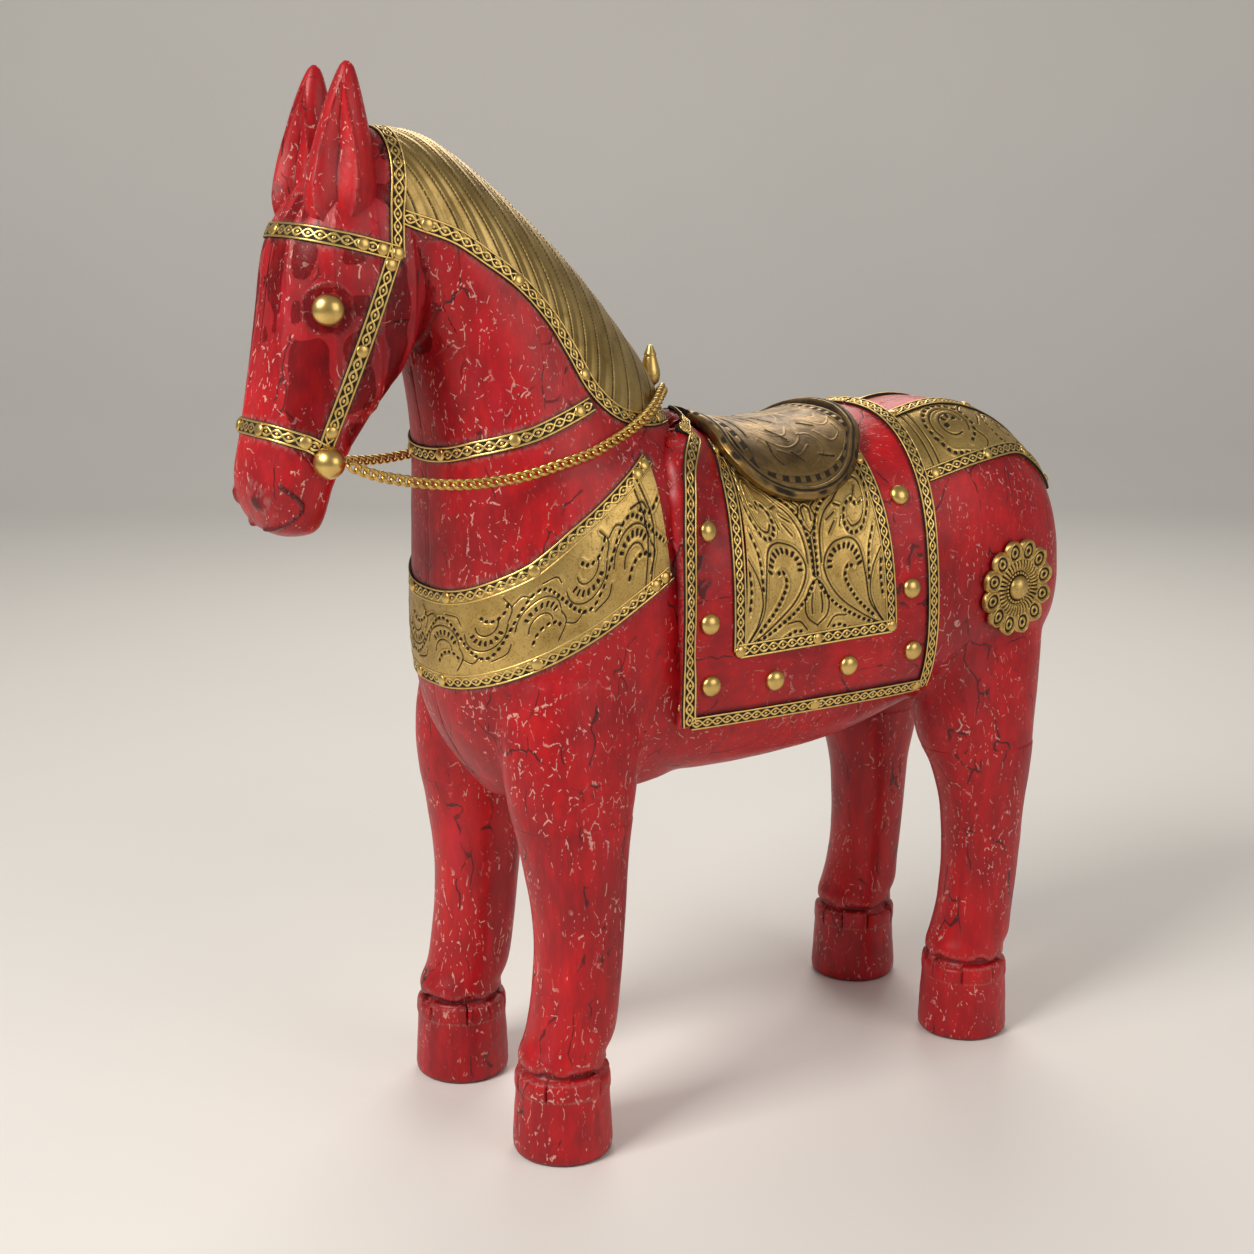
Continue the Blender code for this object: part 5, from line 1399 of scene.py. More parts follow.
FLAP_DESIGN = both_sides([
    ("dash", (-1.2, 36), (-1.5, 52), (-3.5, 66), (-10, 78), (-22, 84.5), (-34, 86), (-43, 80), (-47.5, 71),
     (-45.5, 60.5), (-37, 54)),
    ("line", (-4.5, 44), (-5.0, 54), (-7.0, 64), (-13, 74), (-23, 80), (-34, 81), (-41, 76), (-43.5, 69),
     (-41, 61), (-35, 57), (-28.5, 57.5), (-26, 62)),
    ("dash", (-37, 53.5), (-29, 53.5), (-24.5, 58.5), (-24, 65), (-27, 70), (-32, 70.5), (-34.5, 66.5)),
    ("line", (-48, -2), (-37, 13), (-34, 30), (-31, 46), (-24.5, 53), (-15.5, 54.5), (-8.5, 49), (-6, 40.5),
     (-10, 28.5), (-19, 17), (-33, 6), (-48, -2)),
    ("seed", (-31, 35), (-28, 44), (-22.5, 49.5), (-15.5, 50), (-10.5, 45.5), (-9.8, 39)),
    ("dash", (-40, 4.5), (-30, 14), (-22.5, 25), (-19.5, 33), (-22, 38.5), (-26, 36)),
    ("dash", (-45, -1.5), (-30, 5.0), (-15, 15), (-5, 26), (-1.5, 34)),
    ("line", (-47.5, 38), (-40, 31), (-37, 20), (-40.5, 9), (-47, 0)),
    ("dash", (-47, 34), (-45.5, 25), (-46.5, 14)),
    ("dash", (-45, 50), (-39, 43), (-37, 34), (-36.5, 26)),
    ("line", (0, 5), (-6.5, 11), (-8, 20), (-4.5, 30), (0, 35)), ("line", (-3.2, 13), (-3.6, 19), (-2.8, 26)),
    ("line", (0, 62), (-5.5, 70), (-4.0, 78), (-7, 82), (0, 90)), ("line", (-0.8, 36), (-0.8, 60)),
    ("line", (-2.5, 70), (-2.5, 77), (0, 80)),
    ("line", (-20, 62), (-22, 66)), ("line", (-12, 60), (-17, 66)), ("line", (-12, 68), (-18, 71)),
    ("line", (-19, 76), (-23, 72)), ("line", (-38, 74), (-34, 71)), ("line", (-40, 64), (-37, 65)),
    ("line", (-49, 90), (-40, 97)), ("line", (-44, 104), (-36, 94), (-30, 92)),
    ("dash", (-24, -1), (-16, 3), (-9, 2.5)), ("line", (-20, 8.5), (-12, 9), (-7, 3))])


def plate(rows, cols, low, high, lift, design, size, base=0.0, bulge=0.0):
    """A sheet between two lines, pinned to the skin, with engraving. The size says how many
    millimetres the design spans along (from the middle) and across (from the low line)."""
    low, high = (even_line(line, 1e-4)[0] for line in (low, high))
    low, high = (line[np.linspace(0, len(line) - 1, rows).astype(int)] for line in (low, high))
    t = np.linspace(0, 1, cols)[None, :, None]
    grid = eased(nearest(low[:, None] * (1 - t) + high[:, None] * t), (12, 12))
    s = np.linspace(-1, 1, rows)[:, None] * size[0] + 0 * t[..., 0]
    height, tarnish = engraved(np.stack([s, t[..., 0] * size[1] + 0 * s], -1), design)
    hammer = 0.00010 * ripple(grid.reshape(-1, 3), 51, 0.012).reshape(s.shape)
    pillow = bulge * np.sin(np.pi * t[..., 0]) ** 0.5
    return pressed(grid, height + SHEET_TOP + lift + hammer + pillow, np.clip(tarnish + base, 0, 1),
                   lift - 0.0004,
                   (0, 0))


SEAT_EDGE = [(0.172, 0.402), (0.176, 0.388), (0.198, 0.3765), (0.240, 0.3680), (0.300, 0.3640),
             (0.360, 0.3665),
             (0.410, 0.3750), (0.452, 0.3880), (0.480, 0.4000), (0.500, 0.4100)]
seat_route = np.array([(barrel(share), z) for share, z in SEAT_EDGE])
flap_y = np.linspace(FLAP_FRONT[0][0] + HALF * 0.8, FLAP_REAR[0][0] - HALF * 0.8, 60)
flap_low = np.stack([flap_y, np.interp(flap_y, [FLAP_FRONT[0][0], FLAP_REAR[0][0]],
                                       [FLAP_FRONT[0][1], FLAP_REAR[0][1]]) + HALF * 0.8], 1)
flap_share = np.linspace(0, 1, 60)
flap_high_y = (barrel(0.150) + STRIP_WIDTH * 0.9
               + flap_share * (barrel(0.465) - barrel(0.150) - STRIP_WIDTH * 1.8))
flap_high = np.stack([flap_high_y, np.interp(flap_high_y, *seat_route.T, left=0.392) - 0.001], 1)
flap_high[:, 1] = np.minimum(flap_high[:, 1], 0.390)
add_pair("flap_plate_engraved",
         plate(220, 190, lifted_feet(flap_low), lifted_feet(flap_high), CLOTH_TOP, FLAP_DESIGN,
                                      (49, 84), 0.05), plate_brass, ["flap_plate"])


def breast_design():
    """A dashed stem that waves along the band, with a crescent leaf under each bend."""
    s = np.linspace(-163, 163, 90)
    strokes = [("dash", *zip(s, 27 + 14 * np.sin(2 * np.pi * s / 62)))]
    for k in range(-5, 5):
        x, side = 15.5 + 31 * k, 1 if k % 2 == 0 else -1
        y, turn = 27 - 4.5 * side, 0 if side > 0 else 180
        strokes += [arc("line", x, y, 13.6, turn + 5, turn + 175),
                    arc("seed", x + 1, y - side, 10.2, turn + 15, turn + 150),
                    arc("line", x + 1, y - 2.5 * side, 7.2, turn + 5, turn + 185),
                    arc("dash", x + 5, y - 12 * side, 9.0, turn + 25, turn + 165),
                    ("line", (x + 13.6, y), (x + 16.0, y - 7 * side), (x + 11, y - 15 * side)),
                    ("line", (x - 15, y + 17 * side), (x - 9, y + 20 * side), (x - 4, y + 17 * side)),
                    ("line", (x + 3, y + 21 * side), (x + 12, y + 19 * side), (x + 15, y + 14 * side))]
    for end in (-1, 1):
        strokes += [("line", (end * 146, 2), (end * 152, 27), (end * 147, 54)),
                    ("line", (end * 150, 2), (end * 157, 27), (end * 151, 54)),
                    ("dash", (end * 148, 40), (end * 156, 34), (end * 163, 36))]
    return strokes


breast_low, breast_high = FRONT_LINES["breast_border_lower"], FRONT_LINES["breast_border_upper"]
add_piece("breast_plate_engraved",
          plate(560, 110, breast_low, breast_high, 0.0, breast_design(), (165, 54), 0.05,
                                         0.0003), plate_brass, ["breast_plate"])


# %% [markdown]
# ## Rump and mane sheets
# The rump has a long engraved sheet on each side of the ridge. The mane is one sheet folded over
# the crest of the neck, with deep combed lines that sweep forward as they rise.

# %% Crupper
CRUPPER_LOW = [(0.590, 0.3655), (0.705, 0.3740), (0.815, 0.3765), (0.880, 0.3670), (0.935, 0.3500)]
crupper_low = left_side(smooth_line([(barrel(s), z) for s, z in CRUPPER_LOW], 60) + [0, 0.0])
crupper_high = np.stack([np.full(60, 0.0215), crupper_low[:, 1], np.full(60, 0.5)], 1)
crupper_high = pinned(crupper_high, wrap_method="PROJECT", use_project_z=True, use_negative_direction=True,
                      use_positive_direction=False)


def inward(line, other, distance):
    """A line moved towards another by a distance, along the skin."""
    return nearest(line + unit(other - line) * distance)


CRUPPER_DESIGN = []
for middle in (-27, 14, 50):
    CRUPPER_DESIGN += [arc("dash", middle, 24, 14.5, -60, 200, 0.95),
                       arc("line", middle, 24, 11.2, -30, 215, 0.95),
                       arc("line", middle + 1, 24, 7.0, 10, 300, 0.95), arc("seed", middle + 1, 25, 3.6,
                                                                            0, 200),
                       ("line", (middle + 12, 20), (middle + 19, 12), (middle + 14, 6), (middle + 4, 7)),
                       ("dash", (middle - 14, 20), (middle - 8, 10), (middle + 2, 7)),
                       ("line", (middle + 12, 32), (middle + 19, 38), (middle + 24, 30), (middle + 19, 22))]
CRUPPER_DESIGN += [("line", (-50, 2), (-49, 44)), ("line", (-46, 2), (-45, 44)), ("line", (58, 6), (54, 40))]
add_pair("crupper_plate_engraved",
         plate(210, 120, crupper_low, crupper_high, 0.0, CRUPPER_DESIGN, (57, 46), 0.10),
         plate_brass, ["crupper_plate"])
crupper_strips = [strip_mesh(inward(crupper_low, crupper_high, HALF), lift=0.0009),
                  strip_mesh(inward(crupper_high, crupper_low, HALF), lift=0.0009)]
add_pair("crupper_edging", joined(crupper_strips), strip_brass)


# %% Mane
CREST = [(-0.0735, 0.569), (-0.052, 0.566), (-0.024, 0.5505), (0.0065, 0.5265), (0.0395, 0.4965),
         (0.0665, 0.466),
         (0.089, 0.436), (0.098, 0.4150)]


def mane_mesh(rows=430, cols=110):
    """Rows along the edge, columns over the crest. A groove is where the place along the crest,
    moved by how high the point is, comes to a whole number."""
    low = even_line(mane_line, 0.0005)[0]
    low = low[np.linspace(4, len(low) - 1, rows).astype(int)]
    crest = smooth_line(CREST, rows) + [FEET_Y, 0]
    a = np.linspace(-np.pi / 2, np.pi / 2, cols)[None]
    rise = np.cos(a)[..., None]
    grid = np.concatenate([(low[:, :1] * np.sin(a))[..., None],
                           low[:, None, 1:] + (crest[:, None] - low[:, None, 1:]) * rise], -1)
    grid = eased(nearest(grid), (16, 16))
    t = np.linspace(0, 1, rows)[:, None]
    high = 1 - abs(np.linspace(-1, 1, cols))[None]
    place = 15.5 * (t * 1.02 + 0.30 * high ** 1.5 * (1.05 - 0.55 * t)) + 0.2 * np.sin(9 * t)
    gap = (np.mod(place, 1) - 0.5) * 0.0125
    groove = np.exp(-(gap / 0.00042) ** 2)
    second = np.exp(-((gap + 0.0021) / 0.00022) ** 2) * 0.4
    crown = 0.00045 * np.cos(np.pi * gap / 0.0125) - 0.0002
    edge = 0.00030 * np.exp(-((gap - 0.00105) / 0.00040) ** 2)
    height = SHEET_TOP + crown - 0.00075 * groove - 0.0002 * second + edge
    return pressed(grid, height, np.clip(groove + 0.5 * second, 0, 1), passes=(0, 0))


add_piece("mane_plate_combed", mane_mesh(), mane_brass, ["mane_plate"])

# %% [markdown]
# ## Seat
# The seat is a sheet dished over the back, with leaves in thin raised lines, a beaded ring, and
# a thick rolled rim. The grid runs from front to rear, and across from side to side. Its outline
# rounds off behind, so the rows get shorter.

# %% Seat
SEAT_LIFT = CLOTH_TOP + 0.0068
RIM_RADIUS = 0.0046


def ring_line():
    """The middle of the rolled rim: up the left side, across the back behind, down the right
    side and across in front, as evenly spaced points of a closed ring."""
    side = lifted_feet(smooth_line(seat_route[1:8], 50), CLOTH_TOP)
    end, corner = side[-1], side[0]
    behind = [(end[0], end[1]), (0.040, 0.2148 + FEET_Y), (0.031, 0.2196 + FEET_Y), (0.020, 0.2236 + FEET_Y),
              (0.010, 0.2254 + FEET_Y), (0.0, 0.2260 + FEET_Y)]
    front_y = barrel(0.172) + 0.001 + FEET_Y
    front = [(0.0, front_y), (0.014, front_y), (0.028, front_y), (0.037, front_y - 0.0004),
             (corner[0], corner[1])]
    over = np.concatenate([smooth_line(front, 24)[:-1], smooth_line(behind, 24)[1:]])
    spots = np.concatenate([over, np.full((len(over), 1), 0.5)], 1)
    spots = pinned(spots, wrap_method="PROJECT", use_project_z=True, use_negative_direction=True,
                   use_positive_direction=False)
    half = np.concatenate([spots[:23], side, spots[23:]])
    half = half + way_out(half) * (CLOTH_TOP + 0.0055)
    ring = np.concatenate([half, half[-2:0:-1] * [-1, 1, 1]])
    closed = np.concatenate([ring, ring[:1]])
    reach = np.concatenate([[0], np.cumsum(np.linalg.norm(np.diff(closed, axis=0), axis=1))])
    even = np.linspace(0, reach[-1], 560, endpoint=False)
    ring = np.stack([np.interp(even, reach, closed[:, k]) for k in range(3)], 1)
    for _ in range(60):
        ring = (np.roll(ring, 1, 0) + 2 * ring + np.roll(ring, -1, 0)) / 4
    return ring


rim_ring = ring_line()


def seat_mesh(rows=200, cols=240):
    """Rows at places along the back, from just inside the rim in front to just inside it
    behind. Each row spans the back between two points of the rim."""
    left = rim_ring[rim_ring[:, 0] >= 0]
    left = left[np.argsort(left[:, 1])]
    share = np.linspace(0.0, 1, rows)
    y = left[0, 1] + 0.0042 + share * (left[-1, 1] - left[0, 1] - 0.0084)
    outer = np.array([left[abs(left[:, 1] - v) < 0.0026][:, 0].max() for v in y])
    outer = eased(outer[:, None], (12,))[:, 0]
    edge_z = np.array([left[abs(left[:, 1] - v) < 0.0026][:, 2].min() for v in y])
    edge_z = eased(edge_z[:, None], (12,))[:, 0]
    half = np.maximum(outer - 0.0040, 0.002)
    across = np.linspace(-1, 1, cols)[None]
    a = across * np.pi / 2
    x = half[:, None] * np.sin(a)
    z = edge_z[:, None] + (0.425 - edge_z[:, None]) * np.cos(a) ** 0.8
    grid = nearest(np.stack([x, y[:, None] + 0 * x, z], -1))
    grid[..., 1] = y[:, None]
    grid = eased(nearest(grid), (18, 18))
    s = (np.linspace(-1, 1, cols)[None] * (half[:, None] / half.max()) ** 0.5 * 62) + 0 * share[:, None]
    up = share[:, None] * 100 + 0 * s
    height, tarnish = engraved(np.stack([s, up], -1), SEAT_DESIGN)
    border = np.minimum(np.minimum(share[:, None] * 100, (1 - share[:, None]) * 100),
                        (1 - abs(across)) * half[:, None] * 1000 * 1.45)
    lines = np.exp(-((border - 1.6) / 0.7) ** 2) + np.exp(-((border - 7.6) / 0.6) ** 2)
    turn = np.arctan2(s, up - 50)
    knurl = (np.cos(turn * 46) > 0.1) * np.exp(-((border - 4.6) / 1.7) ** 4)
    inside = soft(border, 8.2, 8.8)
    height = height * inside + 0.0005 * lines + 0.0003 * knurl
    tarnish = np.where(border < 8.2, 0.75 - 0.75 * np.clip(lines + 0.7 * knurl, 0, 1),
                       np.clip(0.36 + tarnish, 0, 1))
    return pressed(grid, SEAT_LIFT + SHEET_TOP + height, tarnish, SEAT_LIFT - 0.006, (0, 0))


SEAT_DESIGN = both_sides([
    ("vein", (0, 8), (-1, 30), (0, 60), (0, 92)), ("vein", (-2, 12), (-14, 24), (-19, 42), (-12, 58),
                                                   (-1, 66)),
    ("vein", (-4, 20), (-9, 32), (-8, 48), (-1, 62)), ("vein", (-12, 14), (-30, 22), (-40, 38),
                                                       (-34, 54), (-20, 60), (-12, 56)),
    ("vein", (-16, 20), (-27, 30), (-30, 44), (-22, 54)), ("vein", (-34, 20), (-50, 32), (-54, 50),
                                                           (-44, 66), (-32, 64), (-30, 56)),
    ("vein", (-42, 30), (-46, 44), (-40, 56)), ("vein", (-2, 70), (-16, 72), (-28, 82), (-22, 92), (-8, 92)),
    ("vein", (-10, 78), (-18, 82), (-14, 88)), ("vein", (-30, 70), (-42, 76), (-40, 86), (-30, 88)),
    ("line", (-6, 34), (-15, 38)), ("line", (-5, 44), (-15, 50)), ("line", (-24, 36), (-34, 44)),
    ("line", (-44, 40), (-50, 46)), ("line", (-20, 66), (-26, 74)), ("line", (-48, 60), (-52, 70)),
    ("line", (-8, 12), (-20, 14), (-32, 13)), ("line", (-36, 26), (-46, 24), (-52, 28))])
add_piece("saddle_seat_engraved", seat_mesh(), seat_brass, ["saddle_seat"])


def rim_mesh(sides=40):
    """A roll round the ring. Its section is round with two beads along it."""
    ring, steps = rim_ring, len(rim_ring)
    ahead = unit(np.roll(ring, -1, 0) - np.roll(ring, 1, 0))
    up = way_out(nearest(ring))
    for _ in range(12):
        up = unit(np.roll(up, 1, 0) + 2 * up + np.roll(up, -1, 0))
    out = unit(np.cross(up, ahead))
    out = out * np.sign((out * (ring - ring.mean(0))).sum(1).mean())
    b = np.linspace(0, 2 * np.pi, sides, endpoint=False)[None]
    along = np.linspace(0, 1, steps, endpoint=False)[:, None]
    bead = 0.00075 * np.exp(-((np.mod(b - 1.95 + np.pi, 2 * np.pi) - np.pi) / 0.16) ** 2)
    second = 0.00045 * np.exp(-((np.mod(b - 0.35 + np.pi, 2 * np.pi) - np.pi) / 0.13) ** 2)
    radius = RIM_RADIUS * 0.94 + bead + second + 0.00007 * np.sin(311 * along) * np.sin(3 * b)
    tube = ring[:, None] + radius[..., None] * (out[:, None] * np.cos(b)[..., None]
                                                + up[:, None] * np.sin(b)[..., None])
    mesh = mesh_of("rim", tube.reshape(-1, 3), [quads(steps, sides, True, True)], 70)
    mottle = ripple(tube.reshape(-1, 3), 61, 0.009).reshape(steps, sides) * 1.6
    low = np.clip(0.55 - np.cos(b - 0.2) * 0.2 + mottle * 0.5 * (np.cos(b + 0.6) > -0.2), 0, 1)
    groove = np.exp(-((np.mod(b - 1.55 + np.pi, 2 * np.pi) - np.pi) / 0.12) ** 2)
    mark(mesh, "tarnish", np.clip(low * (1 - bead / 0.00075) * (1 - second / 0.0006) + groove * 0.6, 0, 1))
    if enclosed(mesh) < 0:
        mesh.flip_normals()
    return mesh


add_piece("seat_rim_rolled", rim_mesh(), seat_brass, ["seat_rim"])

# %% [markdown]
# ## Turned and cast brass
# Studs, knobs, eyes and the rein post are all turned shapes: a profile of radius and height
# round an axis. Nail heads are small domes with a flat rim. The rosette adds petals, as a
# wave in the angle.

# %% Turned pieces
def turned(profile, place, way, sides=48, ripple_of=None):
    """A profile of (radius, height) turned about an axis through a place, along a way. The ends
    of the profile lie on the axis."""
    profile = np.array(profile, float)
    inner = profile[1:-1]
    way = unit(np.array(way, float))
    first = unit(np.cross(way, [0.0, 0.0, 1.0] if abs(way[2]) < 0.9 else [1.0, 0.0, 0.0]))
    second = np.cross(way, first)
    a = np.linspace(0, 2 * np.pi, sides, endpoint=False)[None]
    radius, height = inner[:, :1] + 0 * a, inner[:, 1:] + 0 * a
    if ripple_of:
        radius, height = ripple_of(radius, height, a)
    ring = (place + radius[..., None] * (first * np.cos(a)[..., None] + second * np.sin(a)[..., None])
            + height[..., None] * way)
    rows = len(inner)
    points = np.concatenate([ring.reshape(-1, 3), [place + profile[0, 1] * way],
                             [place + profile[-1, 1] * way]])
    fan = np.arange(sides)
    low = np.stack([np.full(sides, rows * sides), (fan + 1) % sides, fan], 1)
    high = np.stack([np.full(sides, rows * sides + 1), (rows - 1) * sides + fan,
                     (rows - 1) * sides + (fan + 1) % sides], 1)
    return points, [quads(rows, sides, False, True), low, high]


def turned_mesh(shapes, tarnish=0.1, smooth=40):
    """Turned shapes as one mesh, with one tarnish, or one for each point."""
    mesh = together(shapes)
    mesh.set_sharp_from_angle(angle=math.radians(smooth))
    mark(mesh, "tarnish", np.broadcast_to(tarnish, len(mesh.vertices)))
    if enclosed(mesh) < 0:
        mesh.flip_normals()
    return mesh


def dome(radius, height, flange=0.0):
    """Profile of a domed head: a quarter ellipse, rolled under at the edge."""
    a = np.linspace(0, np.pi / 2, 16)
    curve = [(radius * math.cos(t), 0.0006 + (height - 0.0006) * math.sin(t)) for t in a[:-1]]
    return [(0, 0)] + [(radius * 0.93, 0.0), (radius + flange, 0.0001),
                       (radius + flange, 0.0005)] + curve + [(0, height)]


def side_spot(y, z, lift):
    """A place on the horse's left side at a side-view (y, z), and the way out of it."""
    foot = left_side([(y, z)]) if lift == 0 else lifted_feet([(y, z)], lift)
    way = way_out(foot)
    return (foot + way * lift)[0], way[0]


STUDS = [(0.084052, 0.2663), (0.127806, 0.2640), (0.180912, 0.2660), (0.230010, 0.2688), (0.0866, 0.3525),
         (0.0830, 0.3018), (0.2272, 0.3070), (0.2264, 0.3611)]
stud_spots = [side_spot(y, z, CLOTH_TOP) for y, z in STUDS]
for number, (place, way) in enumerate(stud_spots, 1):
    spot_mesh = turned_mesh([turned(dome(0.0062, 0.0046), place - way * 0.0002, way)])
    replaced = [f"saddle_stud_left_{number}"] if number < 5 else []
    add_piece(f"stud_head_left_{number}", spot_mesh, nail_brass, replaced)
    add_piece(f"stud_head_right_{number}", mirrored(spot_mesh), nail_brass,
              [name.replace("left", "right") for name in replaced])
knob_place, knob_way = side_spot(-0.1200, 0.4010, 0)
eye_place, eye_way = side_spot(-0.1172, 0.4776, 0)
knob = turned_mesh([turned(dome(0.0086, 0.0102), knob_place + knob_way * 0.0018, knob_way, 64)])
add_pair("bit_knob_turned", knob, nail_brass, ["bit_knob"])
eye = turned_mesh([turned(dome(0.0083, 0.0068), eye_place + eye_way * 0.0006, eye_way, 64)])
add_pair("eye_turned", eye, nail_brass, ["eye"])

POST_PROFILE = [(0, -0.0100), (0.0018, -0.0100), (0.0018, 0.0), (0.0048, 0.0003), (0.0048, 0.0020),
                (0.0030, 0.0035),
                (0.0027, 0.0060), (0.0036, 0.0075), (0.0027, 0.0090), (0.0028, 0.0110), (0.0050, 0.0128),
                (0.0057, 0.0150), (0.0060, 0.0175), (0.0058, 0.0200), (0.0047, 0.0240), (0.0038, 0.0272),
                (0.0034, 0.0280), (0.0038, 0.0290), (0.0026, 0.0315), (0.0014, 0.0342), (0, 0.0347)]
post_curve = even_line(np.array(POST_PROFILE), 0.0005)[0]
post = turned_mesh([turned(post_curve, np.array([0, 0.0985 + FEET_Y, 0.4153]), (0, 0, 1))], 0.25)
add_piece("rein_post_turned", post, nail_brass, ["rein_post"])


# %% Nails
def nail_spots(line, shares, lift=SHEET_TOP):
    """Places at shares of a line's length, on top of its edging."""
    line = even_line(line, 0.0005)[0]
    places = line[(np.array(shares) * (len(line) - 1)).astype(int)]
    ways = way_out(nearest(places))
    return [(place + way * lift, way) for place, way in zip(places, ways)]


def nails(spots, radius=0.0034, height=0.0019):
    return turned_mesh([turned(dome(radius, height), place, way, 14) for place, way in spots])


front_nails = []
for strap, shares in {"brow_band": (0.06, 0.13, 0.5, 0.87, 0.94), "nose_band": (0.10, 0.36, 0.64, 0.90),
                      "neck_band": (0.04, 0.22, 0.42, 0.58, 0.78, 0.96), "crown_strap": (0.01, 0.99),
                      "breast_border_upper": (0.012, 0.035, 0.27, 0.44, 0.56, 0.73, 0.965, 0.988),
                      "breast_border_lower": (0.012, 0.035, 0.27, 0.46, 0.54, 0.73, 0.965, 0.988)}.items():
    front_nails += nail_spots(FRONT_LINES[strap], shares)
add_piece("strap_nails", nails(front_nails), nail_brass)
side_nails = nail_spots(cheek_line, (0.09, 0.52, 0.93)) + nail_spots(mane_line, (0.06, 0.33, 0.62, 0.93))
side_nails += nail_spots(inward(crupper_low, crupper_high, HALF), (0.05, 0.38, 0.70, 0.95), 0.0018)
side_nails += nail_spots(inward(crupper_high, crupper_low, HALF), (0.04, 0.5), 0.0018)
for line, shares in ((front_border, (0.03,)), (low_border, (0.5, 0.975)), (flap_lines[0], (0.0, 0.93)),
                     (flap_lines[1], (0.5,)), (flap_lines[2], (0.0, 0.95))):
    side_nails += nail_spots(line, shares)
add_pair("side_nails", nails(side_nails), nail_brass)


# %% Rosette
def rosette_mesh(rows=110, sides=312):
    """Height over radius and angle: a dome, a beaded ring, ribs, and twelve looped petals whose
    outline is a wave in the angle."""
    place, way = side_spot(barrel(0.782), 0.2965, 0)
    first = unit(np.cross(way, [0.0, 0.0, 1.0]))
    second = np.cross(way, first)
    a = np.linspace(0, 2 * np.pi, sides, endpoint=False)[None]
    s = np.linspace(0.004, 1, rows)[:, None]
    petal = abs(np.sin(6 * a)) ** 0.55
    outline = 0.0262 + 0.0046 * petal
    r = s * outline
    middle_x = (np.mod(a / (np.pi / 6), 1) - 0.5) * (np.pi / 6) * r
    to_rim = np.minimum(outline - r, 0.0072 * petal + 0.0002)
    loop = np.hypot(middle_x / 0.0060, (r - 0.0236) / 0.0070)
    height = (0.0010 + 0.0018 * np.exp(-((loop - 0.88) / 0.17) ** 2)
              + 0.0011 * np.exp(-((loop - 0.36) / 0.17) ** 2))
    dark = (1 - np.clip((height - 0.0012) / 0.0008, 0, 1)) * (1 - soft(loop, 0.98, 1.1))
    ribs = soft(r, 0.0105, 0.0120) * (1 - soft(r, 0.0172, 0.0186))
    rib = np.sqrt(np.clip(1 - ((np.mod(a / (2 * np.pi) * 36, 1) - 0.5) / 0.40) ** 2, 0, 1))
    swell = np.sin(np.pi * np.clip((r - 0.0100) / 0.0085, 0, 1)) ** 0.6
    height = height * (1 - ribs) + ribs * (0.0008 + 0.0020 * rib * swell)
    dark = dark * (1 - ribs) + ribs * (1 - rib)
    well = 1 - soft(r, 0.0104, 0.0112)
    bead_x = (np.mod(a / (2 * np.pi) * 24, 1) - 0.5) * (2 * np.pi / 24) * 0.0094
    bead = np.sqrt(np.clip(1 - (bead_x / 0.0010) ** 2 - ((r - 0.0094) / 0.0010) ** 2, 0, 1))
    dome_height = 0.0052 * np.sqrt(np.clip(1 - (r / 0.0076) ** 2, 0, 1))
    height = height * (1 - well) + well * (0.0008 + 0.0010 * bead + dome_height)
    dark = dark * (1 - well) + well * np.clip(1 - 2 * bead - dome_height / 0.0012, 0, 1)
    drop = soft(s, 0.985, 1.0)
    height = height * (1 - drop) + 0.0002 * drop
    top = (place + way * 0.0006
           + r[..., None] * (first * np.cos(a)[..., None] + second * np.sin(a)[..., None])
           + height[..., None] * way)
    n = rows * sides
    back = top[-1] - way * 0.0012
    points = np.concatenate([top.reshape(-1, 3), back, [place + way * (0.0006 + height[0].mean())],
                             [place - way * 0.0005]])
    fan = np.arange(sides)
    nxt = (fan + 1) % sides
    faces = [quads(rows, sides, False, True),
             np.stack([(rows - 1) * sides + fan, n + fan, n + nxt, (rows - 1) * sides + nxt], 1),
             np.stack([np.full(sides, n + sides), nxt, fan],
                      1), np.stack([np.full(sides, n + sides + 1), n + fan, n + nxt], 1)]
    mesh = mesh_of("rosette", points, faces, 60)
    mark(mesh, "tarnish", np.append(dark.ravel(), np.full(sides + 2, 0.8)))
    mesh.attributes["tarnish"].data[n + sides].value = 0.1
    if enclosed(mesh) < 0:
        mesh.flip_normals()
    return mesh


add_pair("rosette_cast", rosette_mesh(), plate_brass, ["rosette"])


# %% [markdown]
# ## Kept pieces
# The seat pad and the dowels are hidden, so the frame's own solids stay for them, and only get
# a finish: red paint for the pad, bare beech with a fine grain for the dowels.

# %% Dowels and pad
def beech():
    """Pale wood: rings stretched along the dowel, with short dark pores."""
    f = Finish("beech")
    grain = f.noise(220.0, f.stretched((1.0, 1.0, 0.1)), detail=4.0)
    rings = f.noise(60.0, f.stretched((1.0, 1.0, 0.2)), detail=2.0)
    pores = f.noise(700.0, f.stretched((1.0, 1.0, 0.08)), detail=2.0).step(0.60, 0.70)
    color = f.mix(rings.step(0.3, 0.7), (0.62, 0.44, 0.26), (0.50, 0.33, 0.18))
    color = f.mix(pores * 0.6, color, (0.28, 0.16, 0.08))
    return f.set(Base_Color=color, Roughness=0.55 + grain * 0.2,
                 Normal=f.bump(grain - pores * 0.5, 0.0002, 0.4))


beech_wood = beech()
for name in ("seat_pad", "front_leg_dowel_left", "front_leg_dowel_right", "hind_leg_dowel_left",
             "hind_leg_dowel_right", "chest_dowel", "rump_dowel", "head_dowel"):
    kept = bpy.data.objects[name]
    kept.data.materials.clear()
    kept.data.materials.append(cloth_paint if name == "seat_pad" else beech_wood)

# %% [markdown]
# ## A last look at every piece
# Any piece that encloses a volume below zero is inside out. The list should be empty and isn't
# yet: it names the head, the tail and both flap frames, which wait for their normals to be
# recalculated. Caps turned the wrong way on other pieces don't show here.

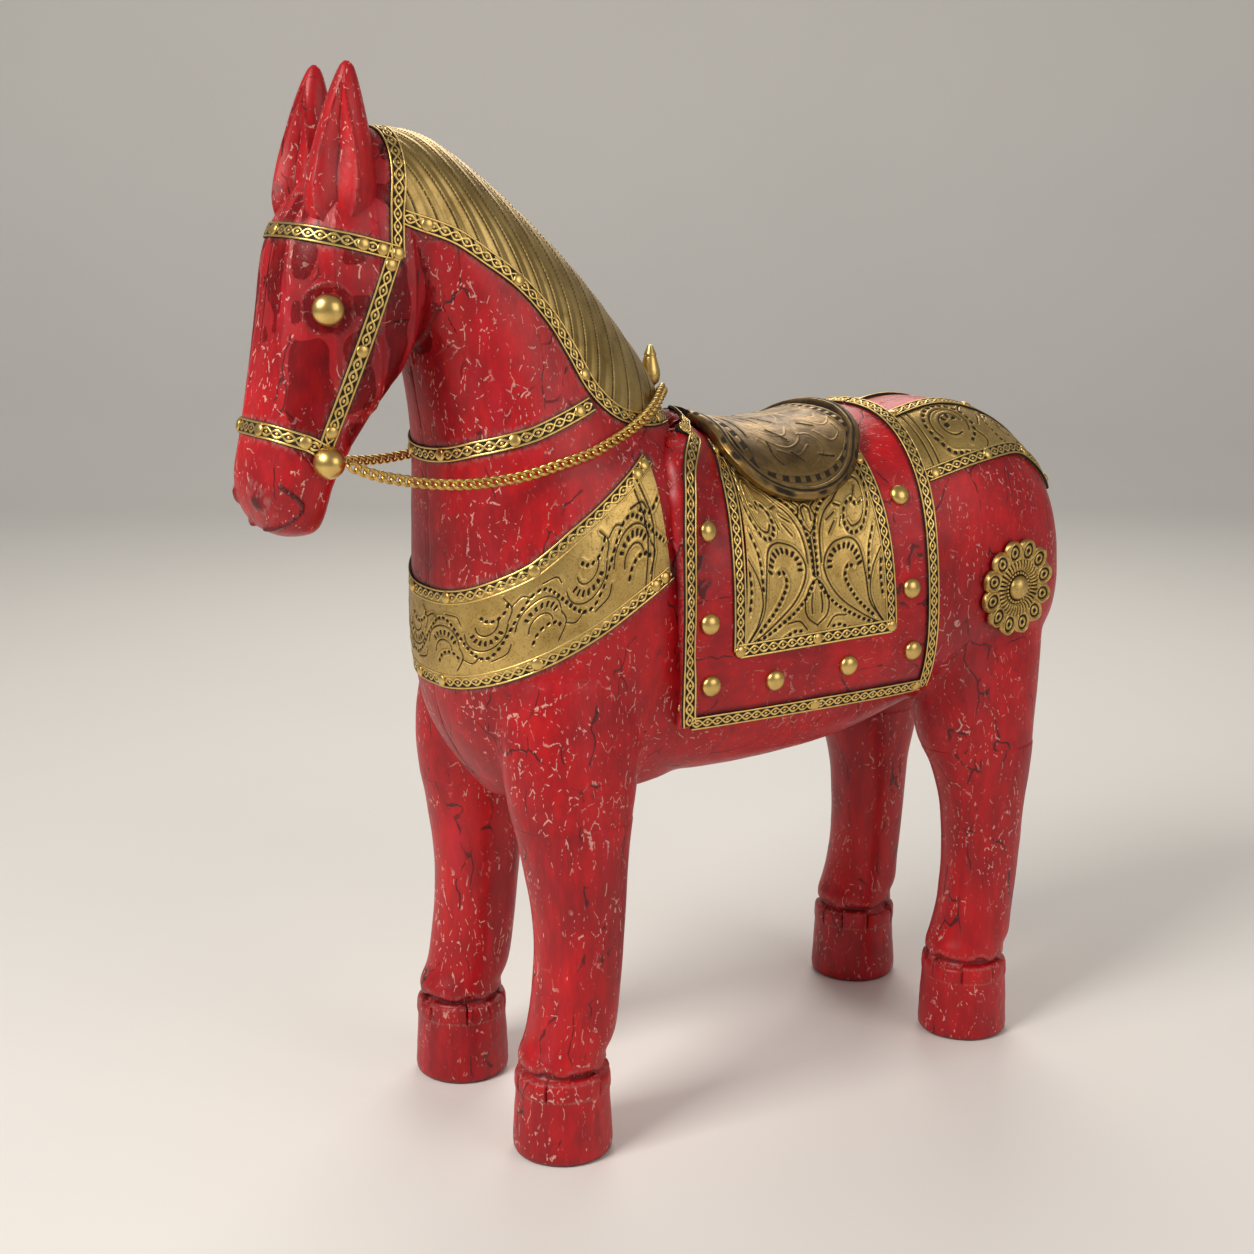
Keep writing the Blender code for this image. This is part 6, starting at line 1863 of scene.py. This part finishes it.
# %% Inside out
inside_out = [piece.name for piece in bpy.context.scene.objects
              if piece.type == "MESH" and piece.name != "guide_skin" and enclosed(piece.data) <= 0]
print("inside out:", inside_out)
faces = {piece.name: len(piece.data.loop_triangles)
         for piece in bpy.context.scene.objects if piece.type == "MESH"}
print("triangles", sum(faces.values()), "most in one piece", max(faces.values()))

# %% [markdown]
# ## Stage
# A pale floor that sweeps up behind the horse, a large soft light from the upper left, a
# weaker one from the right, and a pale sky. Nothing here belongs to the object.

# %% Floor and lights
def sweep_mesh():
    """A floor that turns up into a wall: a straight profile with a quarter circle in it."""
    a = np.linspace(0, np.pi / 2, 24)
    radius, depth = 0.8, 2.2
    floor = np.array([[depth - 6.0, 0.0], [depth, 0.0]])
    bend = np.stack([depth + radius * np.sin(a), radius * (1 - np.cos(a))], 1)
    profile = np.concatenate([floor, bend[1:], [[depth + radius, 4.0]]])
    back = unit(np.array([-0.8466, 0.5322, 0.0]))
    right = np.array([0.5322, 0.8466, 0.0])
    across = np.linspace(-5, 5, 3)
    grid = (profile[:, None, :1] * back + across[None, :, None] * right
            + profile[:, None, 1:] * np.array([0.0, 0.0, 1.0]))
    return mesh_of("floor", grid.reshape(-1, 3), [quads(len(profile), 3)[:, ::-1]])


floor_finish = Finish("pale_floor")
floor_grain = floor_finish.noise(3.0, detail=3.0)
floor_finish.set(Base_Color=floor_finish.mix(floor_grain, (0.76, 0.74, 0.71), (0.80, 0.78, 0.75)),
                 Roughness=0.62)
floor = bpy.data.objects.new("floor", sweep_mesh())
floor.data.materials.append(floor_finish.material)
bpy.context.scene.collection.objects.link(floor)


def soft_light(name, place, size, power, color, aim=(0, 0, 0.3)):
    """A square lamp that faces the horse."""
    data = bpy.data.lights.new(name, "AREA")
    data.size, data.energy, data.color = size, power, color
    lamp = bpy.data.objects.new(name, data)
    lamp.location = place
    lamp.rotation_euler = (Vector(aim) - Vector(place)).to_track_quat("-Z", "Y").to_euler()
    bpy.context.scene.collection.objects.link(lamp)


soft_light("key", (0.35, -1.80, 1.75), 0.9, 46, (1.0, 0.96, 0.90))
soft_light("fill", (2.0, 0.7, 1.2), 1.4, 13, (1.0, 0.95, 0.90))
soft_light("rim", (-1.2, 0.9, 1.5), 1.0, 12, (1.0, 0.95, 0.88))
world = bpy.data.worlds.new("studio")
world.use_nodes = True
world.node_tree.nodes["Background"].inputs["Color"].default_value = (0.95, 0.93, 0.90, 1)
world.node_tree.nodes["Background"].inputs["Strength"].default_value = 0.30
bpy.context.scene.world = world
bpy.context.scene.view_settings.view_transform = "Standard"

# %% [markdown]
# ## Closing
# The guide skin has done its work.

# %% Finish
bpy.data.objects.remove(skin, do_unlink=True)
